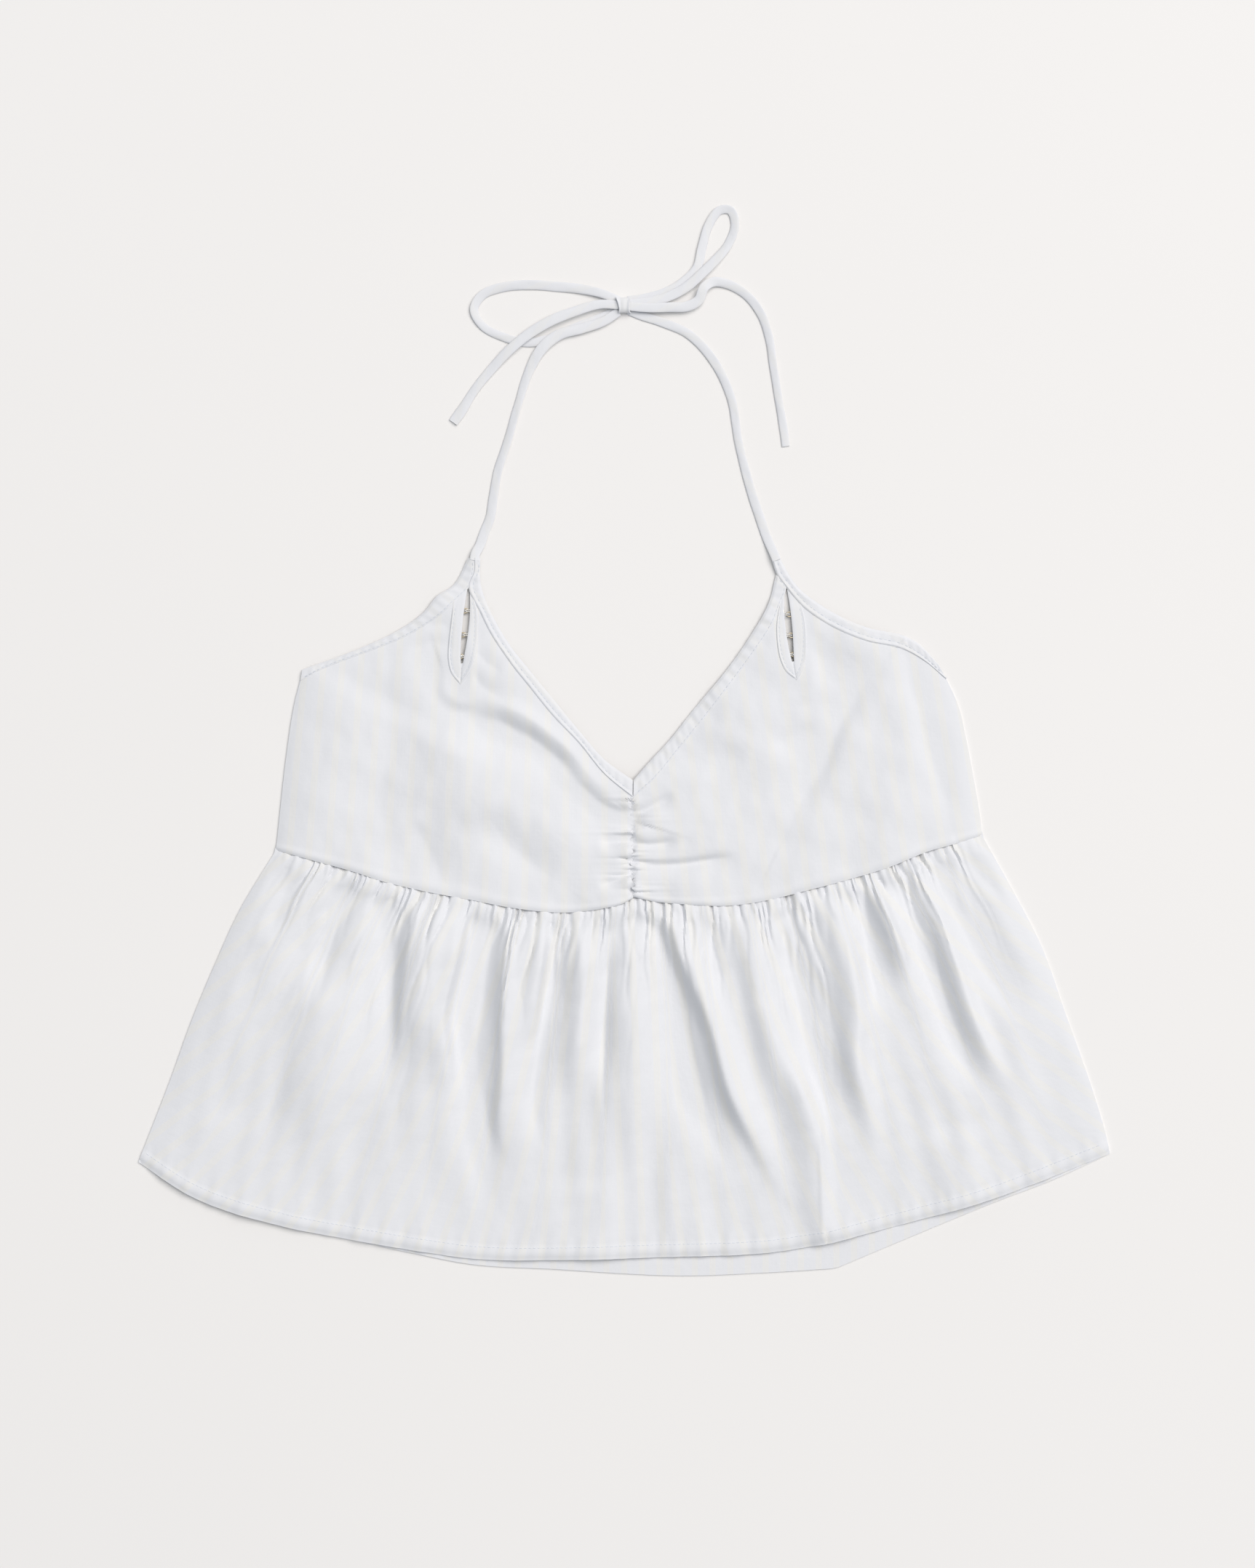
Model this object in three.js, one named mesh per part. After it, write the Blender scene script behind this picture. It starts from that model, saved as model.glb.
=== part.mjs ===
// Halter neck top, laid flat with its front up and its two tapes tied in a bow.
// Millimetres: X across the top, Y from the hem to the neck, Z up from the surface.
// The back panels lie on the surface, and the front panels lie on them. Every cloth piece
// is a wall worked out from its outline, a short table of folds and its gathers.

import * as THREE from 'three';

// Driving sizes
const CLOTH = 1.1;
const BACK_CLOTH = 1.0;
const HEM_EXTRA = 0.5;
const BAND_EXTRA = 0.6;
const SEAM = 0.3;
const SEAM_IN_PLAN = 0.36;
const FRONT_REST = BACK_CLOTH + SEAM;
const HEM_DEPTH = 8;

const GATHERS = 42;
const COLUMNS_A_GATHER = 4;
const PUCKERS = 12;
const BODICE_LIFT = 4.2;
const SIDE_ROLL = 16;
const NECK_ROLL = 14;
const FOLD_DEPTH = 1.2;

// The origin is under the middle of the garment without its tapes
const MIDDLE_Y = -3.35;

// Relief: how the gathers and puckers rise, and how the two front panels lie
const gathering = { low: 0.8, high: 1.3, atSeam: 0.7, beyond: 1.6, fullAt: 6, near: 16, far: 38 };
const ruching = { rise: 1.5, reach: 6 };
const bodiceLie = { atNeck: 0.35, placketHold: [8, 16], placketDrop: 0.35, placketReach: 14 };
const peplumLie = {
  acrossWidth: 500, belowBodice: 0.9, drop: 1.6, dropOver: [60, 190],
  swell: 2.4, swellOver: [0, 30], swellEnds: [60, 170], foldsFullAt: 16,
};

const TAPE_WIDTH = 7;
const TAPE_THICKNESS = 1.2;
const TAPE_CORNER = 0.6;
const TAPE_LEVEL = 1.6;
const TAPE_FLOOR = 0.12;
const WIRE = 0.7;
const HOOK = { reach: 4.4, halfSpan: 0.8, drop: 0 };
const EYE = { reach: 4.2, halfSpan: 1.3, drop: WIRE + 0.15 };
const WIRE_ROOT_AWAY = 3.6;
const KNOT = { width: 8.4, height: 9.6, tall: 5.6, bevel: 1.4, round: 2, x: -0.4, y: 344.6 };

const colours = {
  cloth: '#dfe6ea', bias: '#e2e9ee', tape: '#dde5ec', wire: '#b9ab8d',
};

function cloth(colour) {
  return new THREE.MeshStandardMaterial({ color: colour, roughness: 0.85, metalness: 0 });
}

function metal(colour) {
  return new THREE.MeshStandardMaterial({ color: colour, roughness: 0.3, metalness: 1 });
}

// Outlines, [x, y] in order along each edge
const waist = {
  left: [[-198.5, 34], [-176.5, 28], [-151.5, 21], [-136.5, 16], [-110.5, 10], [-88.5, 6],
    [-62, 1], [-34.5, -1.5], [-14, 0.5], [0, 4], [5.5, 7.5]],
  right: [[5.5, 7.5], [16, 5], [38.5, 3], [60, 2.5], [81, 5.5], [103.5, 11], [130, 18],
    [151, 24.5], [172, 33], [186, 37], [204, 42.5]],
};
const peplumSides = {
  left: [[-198.5, 34], [-218.5, 1], [-233, -30.5], [-246.5, -63], [-258, -95], [-267, -118.5],
    [-277, -144]],
  right: [[204, 42.5], [223, 8.5], [238.5, -22], [252, -60], [265, -96.5], [274, -125.5],
    [277, -139]],
};
const frontHem = [
  [[-277, -144], [-242, -165.5], [-194, -180.5], [-150, -189], [-117.5, -194.5], [-84.5, -199],
    [-40.5, -199.5], [20, -198], [81.5, -195.5], [117.5, -190]],
  [[117.5, -190], [165, -177.5], [213.5, -163.5], [277, -139]],
];
const backHem = {
  left: [[-277, -144], [-242, -163], [-194, -178], [-150, -189.5], [-117.5, -196.5],
    [-84.5, -202.5], [-38.5, -205]],
  right: [
    [[-38.5, -205], [0, -207.5], [33.5, -208.7], [80, -207], [120.5, -204.5]],
    [[120.5, -204.5], [168, -183], [213.5, -161], [277, -139]],
  ],
};
const backTop = [[-183.5, 137], [-150, 114], [-100, 88], [-40, 72], [5, 68], [50, 72],
  [105, 88], [150, 113], [179.5, 137]];
const BACK_SEAM_X = -38.5;

const halves = {
  left: {
    side: [[-183.5, 137], [-188, 117.5], [-192.5, 88.5], [-198.5, 34]],
    centre: [[4.8, 64.5], [4.2, 35.5], [5.3, 7.5]],
    waist: waist.left,
    slitLine: [[-88.5, 184.5], [-90, 165], [-92, 146], [-93.5, 128], [-98, 80], [-103, 8.5]],
    armholeEdge: [[-183.5, 137], [-175, 140], [-152, 148.5], [-128.5, 159.5], [-114.5, 169.5],
      [-106.5, 179], [-97, 185.5], [-89, 200.5]],
    armholeLine: [[-184.5, 131], [-170.5, 138], [-142.5, 148.5], [-123.5, 156.5],
      [-105.5, 168], [-98, 175], [-88.5, 184.5]],
    neckEdge: [[-82, 200.5], [-81.5, 184.5], [-73.5, 165], [-64.5, 150], [-55, 138],
      [-41, 121], [-25.5, 102], [-11, 85.5], [4.9, 74]],
    neckLine: [[-88.5, 184.5], [-82, 170], [-75.5, 157], [-64, 140], [-54, 127.5],
      [-41, 111.5], [-25.5, 95], [-11, 77.5], [4.8, 64.5]],
    placketOut: [[-97.2, 173], [-99.5, 164], [-101, 150], [-101, 142], [-98.5, 134.5],
      [-94, 128.5]],
    placketIn: [[-85.4, 174], [-83, 164], [-84, 150], [-85.5, 142], [-88, 134.5], [-93, 128.5]],
    armholeHalter: [[-85.7, 193], [-85.5, 200.6]],
    neckHalter: [[-85.7, 193], [-85.5, 200.6]],
    hooks: [170.5, 156.8, 144.5],
  },
  right: {
    side: [[179.5, 139.5], [185, 129], [191, 115], [194.5, 100], [199, 76.5], [203, 53],
      [204, 42.5]],
    centre: [[5.2, 64.5], [4.6, 35.5], [5.7, 7.5]],
    waist: waist.right,
    slitLine: [[92, 184.5], [93.5, 165], [95.5, 146], [98, 130.5], [103, 80], [110, 12]],
    armholeEdge: [[179.5, 139.5], [173.5, 146.5], [167, 152.5], [157.5, 157], [138.5, 161],
      [121, 168.5], [104, 180], [97, 186.5], [92.4, 193.5], [88.8, 200.5]],
    armholeLine: [[183.4, 132], [170, 143], [157.5, 149.5], [138.5, 153.5], [121, 160.5],
      [107, 169], [100, 175], [92, 184.5]],
    neckEdge: [[86.6, 191.2], [82, 174], [69.5, 152.5], [57, 135], [39, 113.5], [26, 97],
      [14, 84], [5.3, 74]],
    neckLine: [[92, 184.5], [88.5, 173.5], [84, 162.5], [76, 150], [66, 136], [46, 110],
      [32, 93], [18, 76], [5.2, 64.5]],
    placketOut: [[100.2, 172.5], [103, 164], [104, 150], [103.2, 143], [101, 136], [98.6, 131]],
    placketIn: [[89.4, 172.5], [86.5, 164], [86.8, 152.5], [88.5, 143], [92, 136], [97.6, 131]],
    armholeHalter: [[87.4, 191], [84.2, 200]],
    neckHalter: [[89, 188.4], [87.4, 190.7]],
    hooks: [168.5, 156.5, 145.5],
  },
};

// Folds: height above or below the cloth around, the reach on the left and on the right of
// the line, how full the fold is at its two ends, and the line
const bodiceFolds = [
  { fold: 'left fold from the placket', height: -3.4, left: 12, right: 6, ends: [0.5, 0.6],
    line: [[-101, 128], [-97, 117], [-86, 109], [-67, 103], [-48, 93], [-35, 80], [-24, 65],
      [-11, 56], [1, 52]] },
  { fold: 'left ridge above it', height: 1.8, left: 8, right: 5, ends: [0, 0.2],
    line: [[-86, 120], [-60, 112], [-36, 94], [-20, 76], [-8, 64]] },
  { fold: 'left side trough', height: -2.2, left: 10, right: 12, ends: [0.4, 0.6],
    line: [[-135, 143], [-132, 100], [-139, 68], [-135, 37], [-130, 21]] },
  { fold: 'left trough over the waist', height: -1.6, left: 7, right: 7, ends: [0, 0.5],
    line: [[-121, 52], [-111, 34], [-102, 13]] },
  { fold: 'left trough to the centre', height: -2.0, left: 9, right: 7, ends: [0, 0.3],
    line: [[-80, 60], [-68, 40], [-54, 27], [-35, 14]] },
  { fold: 'left swell', height: 1.8, left: 22, right: 18, ends: [0.2, 0.2],
    line: [[-105, 110], [-85, 75], [-50, 50]] },
  { fold: 'right diagonal trough', height: -2.8, left: 8, right: 12, ends: [0.3, 0.2],
    line: [[149, 143], [132, 124], [116, 92], [100, 61], [90, 40]] },
  { fold: 'right dart', height: -2.4, left: 7, right: 5, ends: [0.8, 0.4],
    line: [[162, 146], [166, 124], [174, 92], [182, 68], [187, 45]] },
  { fold: 'right hollow by the neck', height: -1.8, left: 12, right: 12, ends: [0.2, 0.2],
    line: [[62, 100], [53, 73], [49, 50]] },
  { fold: 'right crease', height: -1.1, left: 4, right: 4, ends: [0, 0],
    line: [[84, 92], [111, 105]] },
  { fold: 'right trough by the placket', height: -1.4, left: 5, right: 5, ends: [0.3, 0],
    line: [[108, 148], [118, 138], [124, 124]] },
  { fold: 'right long ruche', height: -1.9, left: 4, right: 3, ends: [1, 0],
    line: [[6, 28], [13, 26], [32, 26], [52, 29], [67, 31]] },
  { fold: 'right second ruche', height: -1.3, left: 3.5, right: 3.5, ends: [1, 0],
    line: [[6, 38], [13, 37], [23, 38], [32, 41]] },
  { fold: 'right upper ruche', height: -1.3, left: 4, right: 3.5, ends: [1, 0],
    line: [[6, 54], [18, 60], [29, 66]] },
  { fold: 'left upper ruche', height: -1.6, left: 4, right: 4, ends: [1, 0],
    line: [[3, 51], [-7, 53], [-20, 60], [-27, 75]] },
  { fold: 'left middle ruche', height: -1.2, left: 3.5, right: 3.5, ends: [1, 0],
    line: [[2, 40], [-15, 38]] },
  { fold: 'left lower ruche', height: -1.2, left: 3.5, right: 3.5, ends: [1, 0],
    line: [[3, 20], [-7, 16], [-16, 14]] },
];

const peplumFolds = [
  { fold: 'A side valley', height: -2.5, left: 5, right: 6, ends: [0.6, 0],
    line: [[-189, 22], [-196, 2], [-203, -20]] },
  { fold: 'B valley', height: -4.0, left: 9, right: 6, ends: [0.7, 0],
    line: [[-154, 20], [-159, 2], [-168, -21], [-174, -58]] },
  { fold: 'B ridge', height: 3.4, left: 24, right: 11, ends: [0.1, 0.2],
    line: [[-170, -20], [-174, -78], [-174, -140]] },
  { fold: 'C valley', height: -5.0, left: 7, right: 7, ends: [0.7, 0],
    line: [[-135, 14], [-136, -12], [-132, -45], [-131, -77], [-140, -112]] },
  { fold: 'C ridge', height: 3.6, left: 6, right: 16, ends: [0.5, 0.1],
    line: [[-118, 9], [-122, -26], [-126, -61], [-127, -100]] },
  { fold: 'D ridge', height: 4.6, left: 16, right: 3, ends: [0.6, 0.1],
    line: [[-90, 4], [-96, -29], [-103, -61], [-101, -77], [-99, -110]] },
  { fold: 'D valley', height: -6.0, left: 5, right: 7, ends: [0.5, 0.1],
    line: [[-86, -8], [-90, -45], [-94, -66], [-88, -101], [-85, -124], [-79, -156],
      [-70, -174]] },
  { fold: 'E valley', height: -3.2, left: 5, right: 4, ends: [0.5, 0.6],
    line: [[-73, -2], [-78, -29], [-82, -61], [-86, -85]] },
  { fold: 'E ridge', height: 4.4, left: 5, right: 9, ends: [0.5, 0],
    line: [[-64, -2], [-67, -45], [-68, -93], [-70, -124], [-62, -150]] },
  { fold: 'F ridge', height: 3.6, left: 8, right: 3, ends: [0.6, 0],
    line: [[-44, -2], [-49, -45], [-54, -82]] },
  { fold: 'F valley', height: -5.0, left: 4, right: 8, ends: [0.4, 0],
    line: [[-38, -10], [-43, -45], [-49, -85], [-52, -109], [-47, -129], [-36, -144]] },
  { fold: 'G ridge', height: 3.6, left: 8, right: 7, ends: [0.5, 0],
    line: [[-26, -4], [-25, -64], [-34, -110]] },
  { fold: 'G valley', height: -4.2, left: 4, right: 4, ends: [0.4, 0],
    line: [[-8, -14], [-10, -45], [-12, -77], [-11, -106]] },
  { fold: 'middle panel', height: 2.6, left: 10, right: 10, ends: [0.3, 0.2],
    line: [[2, -30], [6, -90], [6, -150]] },
  { fold: 'H valley', height: -6.4, left: 8, right: 5, ends: [0.5, 0],
    line: [[9, -4], [22, -17], [29, -45], [34, -77], [42, -109], [52, -134], [66, -156]] },
  { fold: 'J ridge', height: 5.6, left: 5, right: 9, ends: [0.5, 0.1],
    line: [[25, 2], [31, -21], [42, -48], [49, -64], [55, -85], [61, -105], [77, -136],
      [90, -160]] },
  { fold: 'J line', height: -2.6, left: 2.5, right: 6, ends: [0.6, 0],
    line: [[49, 0], [50, -29], [49, -55]] },
  { fold: 'K ridge', height: 4.4, left: 8, right: 10, ends: [0.5, 0.5],
    line: [[69, -5], [76, -37], [80, -58], [90, -85], [103, -109], [110, -140], [114, -180]] },
  { fold: 'L valley', height: -4.6, left: 5, right: 6, ends: [0.7, 0],
    line: [[88, 0], [95, -34], [104, -69], [111, -101], [122, -136]] },
  { fold: 'M ridge', height: 4.2, left: 6, right: 10, ends: [0.5, 0],
    line: [[120, -2], [128, -29], [132, -61], [132, -85], [137, -109], [143, -141]] },
  { fold: 'N valley', height: -4.4, left: 4, right: 4, ends: [0.8, 0],
    line: [[134, 13], [138, -13], [141, -37], [146, -62]] },
  { fold: 'O ridge', height: 4.6, left: 5, right: 3.5, ends: [0.6, 0],
    line: [[142, 19], [149, -2], [157, -21], [163, -44]] },
  { fold: 'P valley', height: -6.6, left: 5, right: 5.5, ends: [0.7, 0],
    line: [[155, 17], [165, -5], [172, -29], [179, -48], [186, -69], [196, -90],
      [210, -110]] },
  { fold: 'Q ridge', height: 4.8, left: 5, right: 8, ends: [0.6, 0],
    line: [[166, 19], [177, -2], [187, -29], [198, -61], [209, -85], [222, -106]] },
  { fold: 'S valley', height: -3.6, left: 5, right: 6, ends: [0.7, 0],
    line: [[180, 23], [190, -2], [200, -21], [213, -45], [228, -68]] },
  { fold: 'U valley', height: -2.2, left: 4, right: 4, ends: [0.6, 0],
    line: [[194, 32], [205, 18], [219, 4]] },
  { fold: 'left hem wave', height: 1.8, left: 26, right: 26, ends: [0, 1],
    line: [[-228, -110], [-232, -168]] },
  { fold: 'middle hem wave', height: 2.0, left: 24, right: 20, ends: [0, 1],
    line: [[-20, -150], [-22, -200]] },
  { fold: 'right hem wave', height: 2.2, left: 20, right: 20, ends: [0, 1],
    line: [[190, -120], [197, -168]] },
];

// Smooth curves through outlines
function curve(points) {
  const path = points.map(([x, y, z = 0]) => new THREE.Vector3(x, y, z));
  return new THREE.CatmullRomCurve3(path, false, 'centripetal');
}

function joined(stretches) {
  const path = new THREE.CurvePath();
  stretches.forEach((stretch) => path.add(curve(stretch)));
  return path;
}

function place(path, u) {
  return path instanceof THREE.CurvePath ? path.getPoint(u) : path.getPointAt(u);
}

function smooth(edge0, edge1, value) {
  return THREE.MathUtils.smoothstep(value, edge0, edge1);
}

// Nearest place on a line of points: distance, side (left is positive) and share of its length
function nearest(line, x, y) {
  let best = { distance: Infinity, side: 1, share: 0 };
  let walked = 0;
  for (let k = 0; k + 1 < line.length; k += 1) {
    const [ax, ay] = line[k];
    const [bx, by] = line[k + 1];
    const length = Math.hypot(bx - ax, by - ay);
    const along = ((x - ax) * (bx - ax) + (y - ay) * (by - ay)) / (length * length);
    const held = Math.min(Math.max(along, 0), 1);
    const dx = x - ax - held * (bx - ax);
    const dy = y - ay - held * (by - ay);
    const distance = Math.hypot(dx, dy);
    if (distance < best.distance) {
      const side = Math.sign((bx - ax) * dy - (by - ay) * dx) || 1;
      best = { distance, side, share: walked + held * length };
    }
    walked += length;
  }
  best.share /= walked;
  return best;
}

// A fold's height at a place. Its left and right are those of the picture, on a line that
// runs down.
function foldHeight({ height, left, right, ends, line }, x, y) {
  const { distance, side, share } = nearest(line, x, y);
  const reach = side > 0 ? right : left;
  if (distance > 3 * reach) return 0;
  const first = ends[0] + (1 - ends[0]) * smooth(0, 0.3, share);
  const last = ends[1] + (1 - ends[1]) * smooth(0, 0.4, 1 - share);
  return height * first * last * Math.exp(-((distance / reach) ** 2));
}

function sumOfFolds(folds, x, y) {
  return folds.reduce((sum, fold) => sum + foldHeight(fold, x, y), 0);
}

// Cloth sinks no lower than what it lies on, and reaches it in a soft curve
function settle(height) {
  const softness = 1.2;
  return 0.5 * (height + Math.sqrt(height * height + softness * softness));
}

function topOfBack(x) {
  const k = backTop.findIndex(([px]) => px > x);
  if (k < 1) return backTop[k === 0 ? 0 : backTop.length - 1][1];
  const [ax, ay] = backTop[k - 1];
  const [bx, by] = backTop[k];
  return ay + ((x - ax) / (bx - ax)) * (by - ay);
}

// The front bodice rests on the back, and above the back's top edge on the surface itself
function bodiceRest(x, y) {
  const fade = 16;
  return FRONT_REST * (1 - smooth(0, fade, y - topOfBack(x)));
}

function ruche(half, x, y) {
  const [, top] = half.centre[0];
  const [, bottom] = half.centre[half.centre.length - 1];
  const share = (top - y) / (top - bottom);
  if (share < 0 || share > 1) return 0;
  const away = Math.abs(x - half.centre[1][0]);
  const pucker = Math.sin(Math.PI * PUCKERS * share) ** 2;
  return ruching.rise * pucker * Math.exp(-away / ruching.reach);
}

// Height of the underside of a front bodice half
function bodiceHeight(half, x, y) {
  const sideGap = nearest(half.side, x, y).distance;
  const neckGap = Math.min(nearest(half.armholeEdge, x, y).distance,
    nearest(half.neckEdge, x, y).distance);
  const byNeck = THREE.MathUtils.lerp(bodiceLie.atNeck, 1, 1 - Math.exp(-neckGap / NECK_ROLL));
  const bySide = 1 - Math.exp(-sideGap / SIDE_ROLL);
  const placketGap = nearest(half.slitLine.slice(0, 4), x, y).distance;
  const byPlacket = 1 - bodiceLie.placketDrop * Math.exp(-((placketGap / bodiceLie.placketReach) ** 2));
  const folds = FOLD_DEPTH * sumOfFolds(bodiceFolds, x, y) * smooth(...bodiceLie.placketHold, placketGap);
  const relief = folds + ruche(half, x, y);
  return bodiceRest(x, y) + bySide * settle(BODICE_LIFT * byNeck * byPlacket + relief);
}

// Gathers run from the waist seam. Each is a hump of its own height and reach.
function gather(s, down) {
  const turn = s * GATHERS;
  const nth = Math.floor(turn);
  const uneven = 0.5 + 0.5 * Math.sin(nth * 2.4 + 0.7) * Math.cos(nth * 1.3);
  const { lerp } = THREE.MathUtils;
  const reach = lerp(gathering.near, gathering.far, uneven);
  const growth = lerp(gathering.atSeam, gathering.beyond, smooth(0, gathering.fullAt, down));
  const rise = lerp(gathering.low, gathering.high, uneven) * growth;
  return rise * Math.sin(Math.PI * turn) ** 2 * Math.exp(-down / reach);
}

// Height of the underside of the front peplum, from the share across and the way down
function peplumHeight(s, down, x, y) {
  const lie = peplumLie;
  const bySide = 1 - Math.exp(-Math.min(s, 1 - s) * lie.acrossWidth / SIDE_ROLL);
  const swell = lie.swell * smooth(...lie.swellOver, down) * (1 - smooth(...lie.swellEnds, down));
  const lift = BODICE_LIFT - lie.belowBodice - lie.drop * smooth(...lie.dropOver, down) + swell;
  const folds = FOLD_DEPTH * sumOfFolds(peplumFolds, x, y) * smooth(0, lie.foldsFullAt, down);
  return FRONT_REST + bySide * settle(lift + folds + gather(s, down));
}

// A Coons patch: the plan of a panel between its top, bottom, left and right edges
function patch(edges, s, t) {
  const [top, bottom] = [place(edges.top, s), place(edges.bottom, s)];
  const [left, right] = [place(edges.left, t), place(edges.right, t)];
  const a = place(edges.top, 0).lerp(place(edges.bottom, 0), t);
  const b = place(edges.top, 1).lerp(place(edges.bottom, 1), t);
  return top.lerp(bottom, t)
    .add(left.sub(a).multiplyScalar(1 - s))
    .add(right.sub(b).multiplyScalar(s));
}

// A closed wall over a grid of underside points. Rows run down, columns to the right.
// The wall stands along the cloth's normal inside the panel and upright at its edges.
function wall(grid, thickness, kept = () => true) {
  const rows = grid.length - 1;
  const columns = grid[0].length - 1;
  const has = (r, c) => r >= 0 && c >= 0 && r < rows && c < columns && kept(r, c);
  const inner = new Map();
  const positions = [];
  function corner(r, c) {
    const key = r * (columns + 1) + c;
    if (inner.has(key)) return inner.get(key);
    const around = [has(r - 1, c - 1), has(r - 1, c), has(r, c - 1), has(r, c)];
    const normal = new THREE.Vector3(0, 0, 1);
    if (around.every(Boolean)) {
      const across = grid[r][c + 1].clone().sub(grid[r][c - 1]);
      const up = grid[r - 1][c].clone().sub(grid[r + 1][c]);
      normal.crossVectors(across, up).normalize();
    }
    const outer = grid[r][c].clone().addScaledVector(normal, thickness(r, c));
    const number = positions.length / 3;
    positions.push(...grid[r][c], ...outer);
    inner.set(key, number);
    return number;
  }
  const faces = [];
  function side(u, v) {
    faces.push(v + 1, u + 1, u, v + 1, u, v);
  }
  for (let r = 0; r < rows; r += 1) {
    for (let c = 0; c < columns; c += 1) {
      if (!has(r, c)) continue;
      const [a, b] = [corner(r, c), corner(r, c + 1)];
      const [d, e] = [corner(r + 1, c), corner(r + 1, c + 1)];
      faces.push(a + 1, d + 1, e + 1, a + 1, e + 1, b + 1, a, e, d, a, b, e);
      if (!has(r, c - 1)) side(a, d);
      if (!has(r + 1, c)) side(d, e);
      if (!has(r, c + 1)) side(e, b);
      if (!has(r - 1, c)) side(b, a);
    }
  }
  const geometry = new THREE.BufferGeometry();
  geometry.setAttribute('position', new THREE.Float32BufferAttribute(positions, 3));
  geometry.setIndex(faces);
  return geometry;
}

function steps(count) {
  return Array.from({ length: count + 1 }, (_, k) => k / count);
}

function piece(name, geometry, material) {
  const mesh = new THREE.Mesh(geometry, material);
  mesh.name = name;
  return mesh;
}

// Front bodice half: an outer and an inner patch that meet along the slit's line.
// Above the slit's end the two are apart by the slit, and below it they are one cloth.
const BODICE_ROWS = 24;
const SLIT_ROWS = 6;
const SLIT_WIDTH = 3.8;
const SLIT_JOIN = 1.0;
const SLIT_START = 2.4;
const outerShares = steps(12);
const innerShares = steps(11);
const halterShares = [0.34, 0.67, 1];

function slitHalfWidth(t) {
  const share = Math.min(t * BODICE_ROWS / SLIT_ROWS, 1);
  const open = Math.sin(Math.PI * Math.min(0.1 + share * 0.8, 0.9)) * SLIT_WIDTH;
  return 0.5 * Math.max(share < 1 ? open : 0, SLIT_JOIN);
}

// The waist split where the slit's line meets it
function splitWaist(half) {
  const [footX] = half.slitLine[half.slitLine.length - 1];
  const path = curve(half.waist);
  const samples = steps(200);
  const share = samples.reduce((best, u) => (
    Math.abs(path.getPointAt(u).x - footX) < Math.abs(path.getPointAt(best).x - footX) ? u : best
  ), 0);
  return { path, share };
}

function stretch(path, from, to) {
  return { getPoint: (u) => place(path, from + (to - from) * u) };
}

function asCurve(shape) {
  const made = new THREE.Curve();
  made.getPoint = shape.getPoint;
  made.getPointAt = shape.getPoint;
  return made;
}

function bodicePlan(half, mirrored) {
  const { path, share } = splitWaist(half);
  const outerFrom = mirrored ? 1 : 0;
  const innerTo = mirrored ? 0 : 1;
  const slit = curve([...half.slitLine.slice(0, -1), [...path.getPointAt(share).toArray()]]);
  const outer = {
    top: curve(half.armholeLine), bottom: asCurve(stretch(path, outerFrom, share)),
    left: curve([half.armholeLine[0], ...half.side.slice(1)]), right: slit,
  };
  const inner = {
    top: curve(half.neckLine), bottom: asCurve(stretch(path, share, innerTo)),
    left: slit, right: curve(half.centre),
  };
  return { outer, inner };
}

// The panel's top row moves in from the line where the bands are sewn
function clearOf(row, towards) {
  return row.map((at, c) => {
    const before = row[Math.max(c - 1, 0)];
    const after = row[Math.min(c + 1, row.length - 1)];
    const inward = new THREE.Vector3(after.y - before.y, before.x - after.x, 0);
    return at.clone().addScaledVector(inward.normalize(), towards * SEAM_IN_PLAN);
  });
}

function bodiceGrid(half, mirrored) {
  const plan = bodicePlan(half, mirrored);
  const towards = mirrored ? -1 : 1;
  const grid = steps(BODICE_ROWS).map((t) => {
    const gap = slitHalfWidth(t);
    const outside = outerShares.map((s) => {
      const at = patch(plan.outer, s, t);
      at.x -= towards * gap * s ** 6;
      return at;
    });
    const inside = innerShares.map((s) => {
      const at = patch(plan.inner, s, t);
      at.x += towards * gap * (1 - s) ** 6;
      return at;
    });
    return [...outside, ...inside];
  });
  grid[0] = clearOf(grid[0], towards);
  const corner = plan.inner.left.getPointAt(SLIT_START / plan.inner.left.getLength());
  const lip = towards * slitHalfWidth(0);
  grid[0][outerShares.length - 1] = corner.clone().setX(corner.x - lip);
  grid[0][outerShares.length] = corner.clone().setX(corner.x + lip);
  grid.forEach((row) => row.forEach((at) => { at.z = bodiceHeight(half, at.x, at.y); }));
  return mirrored ? grid.map((row) => row.reverse()) : grid;
}

function frontBodice(side) {
  const half = halves[side];
  const mirrored = side === 'right';
  const grid = bodiceGrid(half, mirrored);
  const slitColumn = mirrored ? innerShares.length - 1 : outerShares.length - 1;
  const kept = (r, c) => !(c === slitColumn && r < SLIT_ROWS);
  return piece(`front_bodice_${side}`, wall(grid, () => CLOTH, kept), cloth(colours.cloth));
}

// Bands: a doubled strip between the garment's edge and the line where it is sewn. From the
// slit up to the tape, the two bands of a half lie side by side, a seam apart.
function shareNear(path, [x, y]) {
  const away = (u) => path.getPointAt(u).distanceTo(new THREE.Vector3(x, y, 0));
  return steps(200).reduce((best, u) => (away(u) < away(best) ? u : best), 0);
}

// Pairs of places on the edge and on the sewn line, from the side seam to the tape
function armholeStations(half) {
  const [edge, sewn] = [curve(half.armholeEdge), curve(half.armholeLine)];
  const [slitTop] = half.slitLine;
  const turn = shareNear(edge, slitTop);
  const halter = curve([slitTop, ...half.armholeHalter]);
  return [
    ...outerShares.map((s) => [edge.getPointAt(s * turn), sewn.getPointAt(s), s ** 8]),
    ...halterShares.map((u) => [
      edge.getPointAt(THREE.MathUtils.lerp(turn, 1, u)), halter.getPointAt(u), 1]),
  ];
}

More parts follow.
